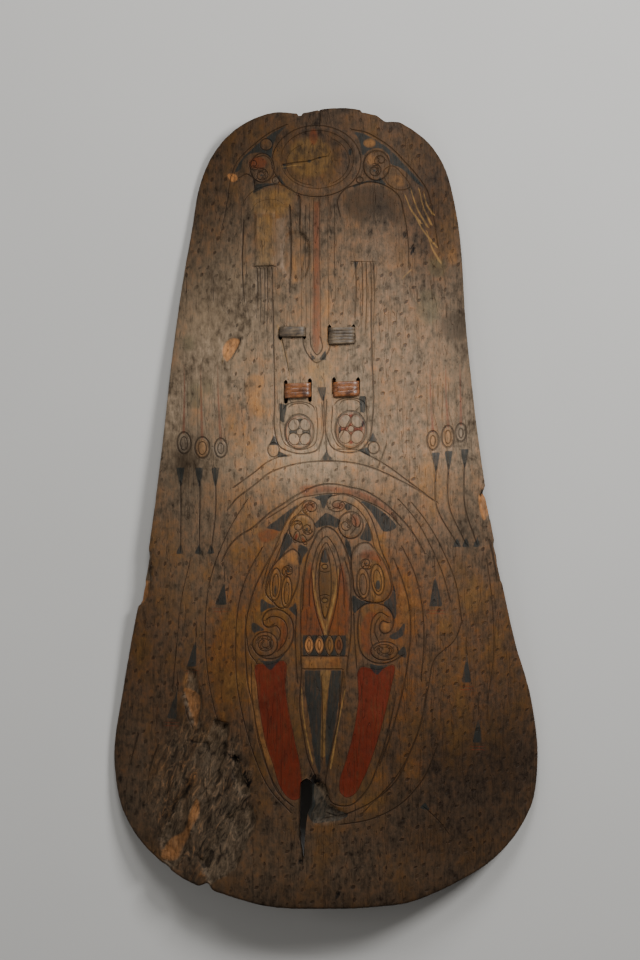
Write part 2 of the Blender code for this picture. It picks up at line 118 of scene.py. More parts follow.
# Where layers of wood have split off the front: across and along in shares of half the width and
# half the height, and deep in shares of the board's thickness.
SPLIT_OFF = {
    "pale_scar": ((-0.658, -0.401, 0.25), (-0.611, -0.411, 0.35), (-0.592, -0.481, 0.40),
        (-0.597, -0.546, 0.10), (-0.639, -0.536, 0.30), (-0.667, -0.471, 0.35)),
    "rot_valley": ((-0.526, -0.531, 0.30), (-0.461, -0.541, 0.50), (-0.470, -0.621, 0.45),
        (-0.526, -0.706, 0.35), (-0.611, -0.806, 0.20), (-0.648, -0.796, 0.25), (-0.578, -0.681, 0.50),
        (-0.564, -0.591, 0.45)),
    "rot_hollow": ((-0.440, -0.600, 0.20), (-0.404, -0.651, 0.40), (-0.357, -0.716, 0.30),
        (-0.404, -0.722, 0.50), (-0.446, -0.671, 0.40)),
    "rot_channel": ((-0.714, -0.759, 0.20), (-0.668, -0.712, 0.50), (-0.640, -0.830, 0.60),
        (-0.668, -0.866, 0.60), (-0.705, -0.900, 0.70), (-0.761, -0.895, 0.60), (-0.785, -0.826, 0.50)),
    "rot_slope": ((-0.357, -0.736, 0.10), (-0.329, -0.781, 0.35), (-0.423, -0.901, 0.40),
        (-0.545, -0.946, 0.50), (-0.592, -0.885, 0.45), (-0.470, -0.776, 0.40)),
    "slot_shelf": ((-0.055, -0.681, 0.30), (0.000, -0.696, 0.35), (0.019, -0.746, 0.45),
        (0.103, -0.764, 0.10), (0.094, -0.779, 0.10), (0.009, -0.786, 0.40), (-0.055, -0.786, 0.50)),
    "left_edge_split": ((-0.826, -0.111, 0.45), (-0.826, -0.176, 0.50), (-0.846, -0.231, 0.40),
        (-0.900, -0.250, 0.20), (-0.910, -0.200, 0.50), (-0.870, -0.140, 0.60)),
    "right_edge_chip": ((0.728, 0.044, 0.60), (0.770, 0.052, 0.70), (0.810, -0.028, 0.45),
        (0.775, -0.034, 0.20), (0.724, -0.006, 0.35)),
}

# Each lashing: which loop and which end it holds, its width, its turns and its shifts.
Lashing = namedtuple("Lashing", "side end width turns shift_across shift_along")
LASHINGS = {
    "lashing_upper_left": Lashing(-1, 1, 0.0105, 1, -0.0030, 0.0010),
    "lashing_upper_right": Lashing(1, 1, 0.0200, 5, -0.0010, -0.0020),
    "lashing_lower_left": Lashing(-1, -1, 0.0190, 3, 0.0025, 0.0005),
    "lashing_lower_right": Lashing(1, -1, 0.0195, 3, 0.0035, 0.0020),
}

# The drawing sheet: millimetres to the right and down, as the eye straight above sees the shield. Its
# scale is true at SHEET_LEVEL, in metres.
SHEET_MIDDLE = (320.0, 480.0)
SHEET_ORIGIN = (326.0, 507.5)
SHEET_LEVEL = 0.036
SHEET_LENGTH = 960.0

# The coats of paint, from the lowest up: their colour setting, how soft their edge is in millimetres,
# how well they cover, and how much of them is gone in patches. BACK_WEATHER is the back's tone and
# warmth, with no tick marks.
Coat = namedtuple("Coat", "paint setting soft cover patchiness")
COATS = (
    Coat("yellowish", "yellow_wash", 5.0, 0.30, 0.7), Coat("shade", "dark_wash", 5.0, 0.50, 0.6),
    Coat("olive", "olive_wash", 5.0, 0.50, 0.6), Coat("reddish", "red_wash", 2.6, 0.60, 0.5),
    Coat("orange", "orange_wash", 3.2, 0.46, 0.6), Coat("greyish", "grey_wash", 2.6, 0.30, 0.6),
    Coat("ochre", "ochre_paint", 1.4, 0.46, 0.4), Coat("red", "red_paint", 1.1, 0.92, 0.12),
    Coat("bare", "bare_wood", 1.5, 0.84, 0.4), Coat("black", "soot_paint", 0.8, 0.92, 0.12),
)
PAINTS = (*(coat.paint for coat in COATS), "rot")
BACK_WEATHER = (0.25, 0.4, 0.0)

# The small tool marks, in millimetres, and how they are turned, sized and faded by chance, and how
# soft the edge of an ink line is.
TICK_SPACING = 12.0
TICK_STAGGER = 0.5
TICK_TURNS = (0.15, 1.15)
TICK_SIZES = (0.75, 1.35)
TICK_STRENGTHS = (0.25, 0.9)
TICK_HALF_WIDTH = 1.25
TICK_HALF_LENGTH = 2.4
LINE_SOFTNESS = 0.35

# The eye straight above, in metres.
EYE_HEIGHT = 6.0
EYE_ACROSS = -0.006
EYE_ALONG = 0.0275
MM = 1000.0

# Unevenness of the board, in millimetres: tool marks, the rotted corner's furrows and slabs, pits, and
# the back's adze marks. ROT_LEAN is a slope, SMOOTH_BORDER is the width, in metres, in which the adze
# marks fade out at the rim, and BORDER_RELIEF is the share of the relief that the front's border keeps.
TOOLING_DEPTH = 0.5
FURROW_DEPTH = 1.5
SLAB_DEPTH = 2.4
ROT_LEAN = 0.36
PIT_DEPTH = 1.4
ADZING_DEPTH = 0.8
SMOOTH_BORDER = 0.01
BORDER_RELIEF = 0.5

# The cane's and the straps' own forms. Lengths are in metres. The two distances OFF a corner or a rim
# are times the strap's lift, STRAP_START counts points back along its way, and the others are shares.
JOINT_SHIFT = 0.013
JOINT_LENGTH = 0.0012
JOINT_SWELLING = 0.09
CANE_BETWEEN_JOINTS = 0.985
OFF_CANE_CORNER = 1.6
OFF_SLOT_RIM = 0.4
STRAP_SLACK = 0.0003
STRAP_FILL = 0.97
STRAP_START = 92

# Grain sizes: of the fibres, in the units of the fibre attribute, and of patches, in metres. Last, how
# strongly wood and cane bend light.
FIBRE_SIZES = (1 / 60, 1 / 1400, 1 / 3)
CANE_PATCH = 1 / 160
FLOOR_MOTTLE = 1 / 6
WOOD_IOR = 1.5

# The stage, in metres: each light's place, size and power setting.
FLOOR_SIZE = 12.0
FLOOR_LEVEL = -0.0002
LIT_PLACE = (0.0, 0.10, 0.04)
AIR_TINT = (1.0, 0.97, 0.93, 1.0)
LIGHTS = (
    ("key", (1.30, 0.95, 1.40), 0.6, "key_power"),
    ("fill", (-1.9, -0.4, 1.6), 1.6, "fill_power"),
    ("head", (-0.10, 1.35, 1.50), 0.8, "top_power"),
)

# Fineness of the meshes. The board's back has one cell to each RATIO by RATIO cells of its front, and
# PROFILE_STEP is in degrees round the cane or the strap.
RATIO = 3
COLUMNS = 64 * RATIO
ROWS = 129 * RATIO
COLUMN_SIZES = ((0.0, 1.7), (0.16, 1.15), (0.30, 0.8), (0.70, 0.8), (0.84, 1.15), (1.0, 1.7))
ROW_SIZES = ((0.0, 1.15), (0.2, 0.95), (0.45, 0.85), (0.60, 0.85), (0.72, 1.0), (0.88, 0.9), (1.0, 0.9))
ROUNDING_STEPS = 4
PARTING_ROWS = 12
LOOP_STEPS = 240
PROFILE_STEP = 22.5

# How far paint and ink are worked out beyond their edges, and the room kept between the lines of one
# ink layer, in millimetres. NO_INK fills a layer where it has no line.
FAR = 7.0
INK_BAND = 3.3
INK_ROOM = 2.8
NO_INK = (INK_BAND, -INK_BAND, 0.0)


def linear(code):
    """Linear red, green and blue from an sRGB hex value, by the sRGB curve."""
    share = np.array([int(code[i:i + 2], 16) for i in (1, 3, 5)]) / 255.0
    curve = np.where(share <= 0.04045, share / 12.92, ((share + 0.055) / 1.055) ** 2.4)
    return tuple(float(part) for part in curve)


def smooth(points, steps=6, closed=False):
    """Points along a smooth curve through the given ones.

    Each span is a cubic whose end slopes are those of the two spans that meet, weighted by length.
    """
    knots = np.array(points, dtype=float)
    if not closed:
        knots = np.vstack((2 * knots[0] - knots[1], knots, 2 * knots[-1] - knots[-2]))
    after = np.roll(knots, -1, axis=0)
    span = np.linalg.norm(after - knots, axis=1)[:, None]
    before = np.roll(span, 1, axis=0)
    slope_after = (after - knots) / span
    slope_before = np.roll(slope_after, 1, axis=0)
    slope = (slope_after * before + slope_before * span) / (span + before)
    t = (np.arange(steps) / steps)[None, :, None]
    run = (
        (2 * t**3 - 3 * t**2 + 1) * knots[:, None]
        + (t**3 - 2 * t**2 + t) * (slope * span)[:, None]
        + (3 * t**2 - 2 * t**3) * after[:, None]
        + (t**3 - t**2) * (np.roll(slope, -1, axis=0) * span)[:, None]
    )
    if closed:
        return run.reshape(-1, knots.shape[1])
    return np.vstack((run[1:-2].reshape(-1, knots.shape[1]), knots[-2]))


def noise(across, along, size, seed):
    """Smooth noise from 0 to 1: random heights at the corners of square cells, blended by cubics."""
    table = np.random.default_rng(seed).random((64, 64))
    a, b = np.asarray(across) / size, np.asarray(along) / size
    i, j = np.floor(a).astype(int), np.floor(b).astype(int)
    s, t = a - i, b - j
    s, t = s * s * (3 - 2 * s), t * t * (3 - 2 * t)
    low = table[i % 64, j % 64] * (1 - s) + table[(i + 1) % 64, j % 64] * s
    high = table[i % 64, (j + 1) % 64] * (1 - s) + table[(i + 1) % 64, (j + 1) % 64] * s
    return low * (1 - t) + high * t


def ease(value, low, high):
    """A smooth step from 0 at low to 1 at high."""
    t = np.clip((value - low) / (high - low), 0.0, 1.0)
    return t * t * (3 - 2 * t)


# The board's form.


def outline():
    """The outline in metres, and the places in it where the four edges begin.

    It is wider than the board by what the rounding of its slanting rim takes off again.
    """
    edges = (HEAD_EDGE, RIGHT_EDGE, FOOT_EDGE, LEFT_EDGE)
    ring = smooth([point for edge in edges for point in edge], OUTLINE_STEPS, closed=True)
    low, high = ring.min(axis=0), ring.max(axis=0)
    half_sizes = (HALF_WIDTH + ROUNDED_OFF_SIDE, HALF_HEIGHT + ROUNDED_OFF_END)
    ring = (ring - (low + high) / 2) / ((high - low) / 2) * half_sizes
    starts = np.cumsum([0] + [len(edge) * OUTLINE_STEPS for edge in edges])
    return ring, starts


RING, EDGE_STARTS = outline()


def inset_ring(depth):
    """The outline moved inwards by a depth, square to itself."""
    ahead = np.roll(RING, -1, axis=0) - np.roll(RING, 1, axis=0)
    inwards = np.stack((ahead[:, 1], -ahead[:, 0]), axis=1)
    return RING + inwards / np.linalg.norm(inwards, axis=1)[:, None] * depth


def edge_points(ring, number, shares):
    """Points of one of the four edges at shares of its length, from its first corner."""
    first, last = EDGE_STARTS[number], EDGE_STARTS[number + 1]
    run = ring[np.arange(first, last + 1) % len(ring)]
    lengths = np.concatenate(([0.0], np.cumsum(np.linalg.norm(np.diff(run, axis=0), axis=1))))
    places = np.asarray(shares) * lengths[-1]
    return np.stack([np.interp(places, lengths, run[:, axis]) for axis in (0, 1)], axis=1)


def edge_loop(ring, across, along):
    """The points of all four edges at shares of their lengths, anticlockwise from the lower left."""
    return np.concatenate([
        edge_points(ring, 2, 1 - across)[:-1], edge_points(ring, 1, 1 - along)[:-1],
        edge_points(ring, 0, across)[:0:-1], edge_points(ring, 3, along)[:0:-1],
    ])


def plan_patch(ring, across, along):
    """The plan's points for every pair of shares across and along.

    The sum of the two straight blends of opposite edges, less the blend of the four corners.
    """
    head = edge_points(ring, 0, across)[None]
    right = edge_points(ring, 1, 1 - along)[:, None]
    foot = edge_points(ring, 2, 1 - across)[None]
    left = edge_points(ring, 3, along)[:, None]
    u, v = across[None, :, None], along[:, None, None]
    corners = (
        (1 - u) * (1 - v) * foot[:, :1] + u * (1 - v) * foot[:, -1:]
        + (1 - u) * v * head[:, :1] + u * v * head[:, -1:]
    )
    return (1 - v) * foot + v * head + (1 - u) * left + u * right - corners


def half_width_at(y):
    """Half the width of the outline at a height y."""
    widths = []
    for side in (RING[RING[:, 0] > 0], RING[RING[:, 0] < 0]):
        order = np.argsort(side[:, 1])
        widths.append(np.abs(np.interp(y, side[order, 1], side[order, 0])))
    return sum(widths) / 2


def radius_at(y):
    """Radius of the curve across the front, which opens evenly towards the foot."""
    share = (SHOULDER_STATION - y / HALF_HEIGHT) / (SHOULDER_STATION - FOOT_STATION)
    return SHOULDER_RADIUS + (FOOT_RADIUS - SHOULDER_RADIUS) * share


def sag_at(x, y):
    """How far the front at x lies below the crown of its circle."""
    radius = radius_at(y)
    return radius - np.sqrt(radius**2 - np.square(x))


def crown_curve():
    """The parabola in y through the crown's heights at three stations, lowered onto the floor.

    A crown's height is what the rim hangs below it. The line taken off touches the lowest rim of
    each half.
    """
    def rim_drop(y):
        half = half_width_at(y)
        return sag_at(half, y) + RIM_THICKNESS * np.sqrt(1 - (half / radius_at(y)) ** 2)

    stations = np.array((FOOT_STATION, MIDDLE_STATION, SHOULDER_STATION)) * HALF_HEIGHT
    curve = np.polyfit(stations, rim_drop(stations) + (0.0, ARCH_RISE, 0.0), 2)
    along = np.linspace(-0.9, 0.9, 181) * HALF_HEIGHT
    for _ in range(3):
        rim = np.polyval(curve, along) - rim_drop(along)
        lows = [np.argmin(np.where(half, rim, np.inf)) for half in (along < 0, along > 0)]
        curve = curve - np.array((0.0, *np.polyfit(along[lows], rim[lows], 1)))
    return curve


CROWN = crown_curve()
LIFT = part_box("board")[1].z - np.polyval(CROWN, np.linspace(-HALF_HEIGHT, HALF_HEIGHT, 801)).max()


def front_z(x, y):
    """Height of the front: the crown's parabola less the sag of the circle across it."""
    return np.polyval(CROWN, y) - sag_at(x, y) + LIFT


def back_z(x, y):
    """Height of the back: the same circle, smaller by the board's thickness."""
    radius = radius_at(y)
    inner = np.sqrt((radius - BOARD_THICKNESS) ** 2 - np.square(x))
    return np.polyval(CROWN, y) - radius + inner + LIFT


def front_normals(x, y):
    """Directions square to the front, from its slopes across and along."""
    step = 1e-4
    slope_x = (front_z(x + step, y) - front_z(x - step, y)) / (2 * step)
    slope_y = (front_z(x, y + step) - front_z(x, y - step)) / (2 * step)
    direction = np.stack((-slope_x, -slope_y, np.ones_like(x)), axis=-1)
    return direction / np.linalg.norm(direction, axis=-1, keepdims=True)


def on_sheet(points):
    """Where the eye above sees points, as millimetres on the drawing sheet."""
    share = (EYE_HEIGHT - SHEET_LEVEL) / (EYE_HEIGHT - points[..., 2]) * MM
    across = SHEET_MIDDLE[0] + (points[..., 0] - EYE_ACROSS) * share
    down = SHEET_MIDDLE[1] - (points[..., 1] - EYE_ALONG) * share
    return across, down


def to_sheet(across, along):
    """A place given in shares of half the width and half the height, on the drawing sheet."""
    return SHEET_ORIGIN[0] + across * HALF_WIDTH * MM, SHEET_ORIGIN[1] - along * HALF_HEIGHT * MM


# What is painted and carved on the front, in millimetres on the drawing sheet.


def oval(across, down, wide, high, first=0.0, last=360.0, lean=0.0):
    """An ellipse or a stretch of one: its half sizes times cosine and sine, turned by lean."""
    angle = np.radians(np.linspace(first, last, 37))
    turn = math.radians(lean)
    a, b = wide * np.cos(angle), high * np.sin(angle)
    return np.stack((
        across + a * math.cos(turn) - b * math.sin(turn),
        down + a * math.sin(turn) + b * math.cos(turn),
    ), axis=1)


def coil(across, down, wide, high, first, turn, inner=0.25):
    """A coil: an ellipse whose size shrinks evenly from 1 to inner over the turn, in degrees."""
    share = np.linspace(0.0, 1.0, 49)
    angle = np.radians(first + turn * share)
    size = 1 - (1 - inner) * share
    return np.stack((across + wide * size * np.cos(angle), down + high * size * np.sin(angle)), axis=1)


def corners(*numbers):
    """A shape with straight sides, whose corners are given across and down by turns, or in pairs."""
    return np.reshape(numbers, (-1, 2)).astype(float)


def blob(*numbers):
    """A smooth closed curve through points, given in the same way."""
    return smooth(corners(*numbers), closed=True)


def flow(*numbers):
    """A smooth open curve through points, given in the same way."""
    return smooth(corners(*numbers))


BROWN, RED, PALE = 0.0, 1.0, 2.0


class Drawing:
    """The front's paint, ink lines and carved steps."""

    def __init__(self):
        self.fills = []
        self.lines = []
        self.steps = []

    def fill(self, paint, *shapes, holes=()):
        """Paint inside each shape, but not inside the holes."""
        self.fills.extend((paint, shape, holes) for shape in shapes)

    def line(self, thick, *runs, thin=None, hue=BROWN):
        """A line along each run of points, which goes from thick to thin."""
        last = thick if thin is None else thin
        self.lines.extend((run, thick / 2, last / 2, hue) for run in runs)

    def step(self, shape, rise, soft=1.6):
        """A part of the front that stands above or below the rest."""
        self.steps.append((shape, rise, soft))


def draw_head(d):
    """The ring at the head, the black horns beside it and the scroll heads below them."""
    outer, inner = oval(316.4, 161.2, 44.6, 35.8), oval(317, 159.6, 36.5, 29)
    d.line(0.8, outer)
    d.line(0.3, inner)
    d.line(0.2, oval(313, 164, 27, 21, 95, 245), oval(318, 161, 31, 25, 300, 420))
    d.fill("yellowish", oval(310, 157, 22, 20))
    d.step(outer, 0.9)
    d.step(inner, -0.6)
    d.fill("reddish", oval(313.5, 137, 4.0, 8.0), oval(258, 163, 9, 6))
    d.line(1.3, flow(284, 164.5, 296, 162.5, 309, 161, 320, 157.5, 326, 156.4), thin=0.7)
    d.fill("black", oval(309.3, 161.2, 2.0, 1.6), oval(319.8, 158, 1.9, 1.3),
        corners(282.6, 163, 286, 164.4, 286, 169.6, 283.2, 168.4), oval(350, 152, 1.6, 3.4),
        oval(261.5, 175.3, 1.5, 1.4), oval(374.3, 170.8, 1.5, 1.4),
        corners(227.4, 172.2, 232, 174.6, 237, 178.6, 232, 176.6),
        corners(253, 193.6, 255.6, 184.4, 262, 183.4, 272, 183, 279, 183.8, 265, 187),
        corners(276.4, 176, 279.6, 175.6, 283, 181, 288, 187.4, 281, 184, 279.5, 180),
        corners(350, 188.6, 355, 184.2, 362, 182, 370, 179.6, 377, 180, 380, 177, 384, 182, 389, 187,
            378, 183, 368, 182))
    # A painted highlight along the lower lip of the crack.
    d.line(1.1, flow(284, 167, 290, 166, 300, 165), thin=0.6, hue=PALE)
    left = blob(286, 126.5, 271, 134, 258, 144, 245.5, 155, 238, 165, 234.7, 172.7, 240, 170, 243, 160,
        250, 154, 258, 152.5, 266, 154, 271, 158, 272.5, 150, 274, 142, 278, 134.5)
    d.fill("black", left, holes=(oval(266, 144.5, 6, 5.6),))
    d.line(0.7, oval(266, 144.5, 6.2, 5.8))
    right = blob(354, 132, 364, 134, 377, 141, 390, 150, 401, 161, 414, 175, 424, 188, 418, 184, 408, 174,
        399, 167, 391, 164, 389, 156, 384, 150, 377, 148, 369, 150, 363, 155, 361, 147, 358, 138)
    d.fill("black", right, holes=(oval(369.5, 143.2, 6.2, 4.6),))
    d.fill("orange", oval(369.5, 143.2, 5.4, 3.8), oval(371, 160, 4.5, 5), oval(399, 181, 6, 4, lean=50))
    d.line(0.9,
        flow(286, 124.8, 270, 132.4, 256, 142.6, 243.6, 153.8, 235.6, 164, 231, 176, 226.6, 204, 220, 236),
        flow(352, 129.6, 365, 132, 378.6, 139, 392, 148.4, 403, 159.6, 416, 174, 427, 190, 433, 214,
            438, 246), thin=0.6)
    for across, down, wide, high in ((262, 168, 12, 14.6), (376.4, 165.6, 13.4, 15)):
        d.line(1.2, oval(across, down, wide, high))
        d.step(oval(across, down, wide, high), 0.9)
    d.line(0.9, coil(261.5, 175.3, 7.4, 6.8, -100, 500, 0.3), coil(374.3, 170.8, 7.2, 6.8, -80, 500, 0.3),
        oval(275.5, 180.4, 3.6, 3.6))
    d.line(0.8, coil(253.6, 164.4, 6.2, 6.4, 40, 420, 0.3), flow(256, 157.5, 265, 156, 271, 161, 272, 169),
        coil(380.4, 160.6, 6.4, 6.0, 130, 420, 0.3), oval(359.7, 180, 3.4, 3.0))
    d.fill("greyish", oval(275.5, 180.4, 3.2, 3.2))
    tail = blob(384, 170, 392, 166, 403, 175, 410, 187, 400, 190, 388, 184)
    d.line(0.4, tail)
    d.line(1.0, flow(239, 178, 246, 174, 252.6, 178, 254.6, 190))
    d.fill("bare", blob(227.4, 174.4, 236, 175, 237.4, 179.5, 233, 182))


def draw_tabs_and_stem(d):
    """The two hanging tabs below the ring, the lines that run down from them and the stem."""
    tab = blob(243, 230, 243, 200, 250, 193, 266, 186, 276, 184.6, 291, 189.5, 299, 199.5, 299, 236)
    d.line(0.5,
        flow(241, 230, 244, 201, 252, 192, 266, 186, 276, 184.6, 289, 188, 297.6, 196, 299.6, 214,
            299, 230))
    d.line(0.0, flow(250.6, 214, 256, 204, 266, 200, 276, 200, 283, 204))
    d.line(2.0, flow(289.6, 206, 290.4, 229, 290, 262, 289.4, 292), thin=1.0)
    d.line(0.4, flow(246.4, 262, 246, 300, 249, 320), thin=0.0)
    d.line(1.1,
        flow(340, 216, 337.6, 200, 344, 190, 356, 185, 370.5, 182, 386, 186, 398, 195, 404, 214, 408, 240,
            409, 268), thin=0.7)
    d.fill("shade",
        blob(345, 196, 358, 188, 372, 186, 388, 190, 396, 204, 398, 226, 380, 216, 366, 222, 350, 216),
        corners(351, 290, 357, 290, 356, 317, 352, 317))
    d.line(0.6, corners(352.6, 261.6, 375, 261.6), thin=0.1)
    d.line(1.2, corners(256, 266.6, 273.6, 266))
    d.fill("black", corners(353, 261, 359, 261, 355.6, 269),
        corners(308.5, 349, 316.5, 360, 311.5, 360), corners(326, 349, 326, 360, 318.5, 360),
        corners(316.7, 387, 326.4, 387, 324.4, 401, 322, 401))
    d.fill("yellowish", corners(250, 190, 296, 190, 288, 214, 252, 214),
        corners(257, 216, 272.5, 216, 273, 265, 258, 265.5),
        blob(305, 366, 316, 361, 331, 363, 330, 377, 321, 387, 311, 378))
    d.fill("greyish", corners(275.6, 218, 285, 218, 284, 268, 276, 270))
    d.fill("orange", corners(291.6, 258, 296.4, 256, 296.8, 282, 292.4, 284),
        corners(325, 290, 329, 290, 329, 318, 326, 318))
    d.step(corners(256, 212, 273.8, 212, 273.8, 266, 256, 266.5), 1.5, 0.9)
    d.step(tab, 0.6)
    for across, bottom in (
        (256.8, 318), (260, 330), (264, 326), (266.8, 332), (271.4, 322), (355.4, 318), (362, 326),
        (366, 330), (370.8, 326), (373.6, 334),
    ):
        top = 268 if across < 300 else 263
        d.line(1.0,
            flow((across, top), (across + 0.7, (top + bottom) / 2), (across - 0.5, bottom)), thin=0.4)
    stem = [(300.6, 198, 330), (305.4, 206, 332), (309.6, 205, 334), (313.4, 200, 330), (319.6, 200, 338),
        (328, 196, 330), (334.6, 206, 300)]
    for across, top, bottom in stem:
        d.line(0.4,
            flow((across, top), (across - 0.5, 240), (across + 0.4, 286), (across + 0.6, bottom)), thin=0.2)
    d.fill("reddish",
        corners(314, 202, 319, 202, 320, 300, 321, 340, 318, 353, 314.5, 353, 312, 340, 313, 300))
    d.line(1.1, flow(309.6, 334, 312, 349, 317, 355, 322, 349, 320.5, 338))
    d.line(1.3, flow(301.6, 330, 305, 350, 316.5, 363, 329, 350, 329.4, 330),
        flow(323.4, 398, 324.4, 420, 326.4, 451))


def draw_side_eyes(d):
    """The eyes on both flanks, each with a thin stripe above it and a long wedge below."""
    for across, down, wide, high, stem, foot, stripe in (
        (183.6, 443, 6.8, 10.8, 180.4, 180, 184), (202, 447.6, 7.4, 10.6, 199.4, 198.6, 200.6),
        (220.4, 448, 6.2, 9.6, 215.4, 211, 217.6), (432.8, 440.5, 5.8, 9.5, 436, 457, 430),
        (448, 436.7, 6.2, 11, 448.6, 466, 445.6), (461, 432.6, 5.4, 9.2, 464.6, 477, 460),
    ):
        left = across < 300
        d.line(1.6, oval(across, down, wide, high))
        d.line(0.9, oval(across, down + 0.6, wide - 3.2, high - 4.0))
        d.fill("orange" if across in (202, 448, 432.8) else "greyish", oval(across, down + 0.6, wide - 1.0,
            high - 1.4))
        top = 467.6 if left else 452.4 - (stem - 436) * 0.12
        d.fill("black", corners((stem - 4.4, top), (stem + 4.2, top), (stem + 0.9, top + 19), (stem - 0.7,
            top + 19)))
        bottom = 551 if left else 544
        d.line(1.5, flow((stem, top + 15), (stem + 0.2, 505), (foot, bottom)), thin=1.0)
        d.fill("black", corners((foot - 4.2, bottom + 3), (foot + 0.4, bottom - 8), (foot + 3.6,
            bottom + 3)))
        for shift in (-3.2, 3.2):
            d.line(0.1,
                flow((stripe + shift, 384), (stripe + shift, 410), (across + shift * 1.6, down - high + 1)))
        d.line(0.4, flow((stripe, 366), (stripe + 0.4, 390), (across, down - high)), thin=2.8, hue=RED)


def draw_paired_u(d):
    """The two hanging U shapes at the middle, each with a flower, and their pointed feet."""
    d.line(1.4,
        flow(272.6, 300, 273.6, 350, 274.4, 400, 275, 434, 279, 446, 290, 452, 306, 453.6, 317, 450,
            321.6, 440, 322, 405),
        flow(326.5, 402, 327, 438, 332, 447.5, 346, 452.6, 360, 450.4, 369, 440, 372, 424, 371.6, 350,
            371, 300))
    d.line(0.9,
        flow(281, 404, 280.4, 432, 284, 443, 293, 448.5, 306, 449, 314.6, 444, 317, 434, 316.4, 408),
        flow(332.4, 408, 332.6, 436, 338, 445.5, 351, 449, 362.6, 441, 366.6, 424, 365.8, 398))
    left, right = oval(299, 432, 14.5, 17.5), oval(350.5, 430, 15.5, 19)
    for ring in (left, right):
        d.line(2.0, ring)
        d.line(1.0, ring.mean(axis=0) + (ring - ring.mean(axis=0)) * 0.88, hue=RED)
        d.step(ring, 0.6)
    for paint, across, down, wide, high in (
        ("black", 299.6, 432, 10.8, 13.4), ("red", 350.8, 429, 12, 15),
    ):
        petals = [oval(across + side * wide * 0.53, down + end * high * 0.53, wide * 0.50, high * 0.46,
            lean=32 * side * end) for side in (-1, 1) for end in (-1, 1)]
        heart = oval(across, down, 3.2, 3.2)
        d.fill(paint, oval(across, down, wide, high), holes=(*petals, heart))
        for shape in (*petals, heart):
            d.line(0.7, shape)
            d.fill("greyish", shape)
    d.fill("black", oval(363, 424, 1.6, 3.6), oval(339.6, 430, 1.7, 3.6),
        corners(326.7, 447.5, 325, 454, 319.6, 460.4, 333.8, 460.4, 328.4, 454),
        corners(273.9, 434, 268.9, 445.2, 278.9, 445.2),
        corners(373, 431.6, 368.8, 441.6, 377.6, 441.6),
        corners(357.6, 450.2, 367.8, 446.8, 371, 457.4, 365, 454),
        corners(278.6, 450.8, 291, 456.8, 276.9, 457.2),
        corners(279, 403, 286.8, 405, 284, 423, 280, 420),
        corners(358.8, 396, 366, 396, 365, 413.5, 360.4, 412))
    d.line(1.4, flow(357.5, 409, 350, 420, 340, 438), thin=0.9)
    for middle, top in ((299, 407), (350, 403)):
        d.line(1.0, oval(middle, top + 2, 15, 7, 190, 350))
        d.line(0.8, oval(middle, top + 1, 10, 4.5, 195, 345))
    d.fill("orange", oval(273.3, 450, 4.6, 6.0))
    d.line(1.3, oval(273.3, 450, 5.7, 7.2))
    d.line(1.2, oval(373.6, 448, 5.6, 6.0))


def draw_arches(d):
    """The two broad arches across the middle and their sweeping shoulders."""
    d.line(1.4,
        flow(228, 509, 236, 499, 247, 490.7, 257, 482.7, 268.7, 473.5, 282.5, 467.7, 295, 464.3, 311, 462,
            336.4, 461.4, 350, 462.6, 366.3, 466, 388, 474.6, 404, 482.7, 419, 490.7, 436, 502))
    d.line(1.4, flow(234, 487, 256, 471, 266, 463, 278, 457.4, 289.4, 455), thin=0.9)
    d.line(1.3, flow(338.7, 449.4, 358, 450.5, 369.7, 456, 388, 466.6, 405, 479, 425, 494))
    d.line(1.1, flow(385.8, 446, 382, 457, 377.8, 467.7))
    d.line(1.5,
        flow(222, 560, 230, 545, 240, 535.5, 251.5, 528.6, 268.7, 513.7, 286, 502.2, 295, 496.4,
            305.4, 490.7, 320.4, 485, 335.3, 484.4, 349, 487.3, 364, 490.7, 380, 500, 398.4, 516, 412, 532,
            424, 552))
    d.line(1.0,
        flow(268, 518, 284, 508, 300, 498, 311, 496, 333, 493.6, 348, 494.6, 362, 500, 380, 508, 391, 516,
            400, 526))
    d.fill("reddish",
        blob(300, 488, 322, 485.6, 345, 487.6, 370, 495, 392, 512, 398, 520, 384, 509, 360, 498, 340, 493,
            318, 493, 304, 496), blob(268, 529, 258, 534, 262, 542, 275, 538, 279, 531))


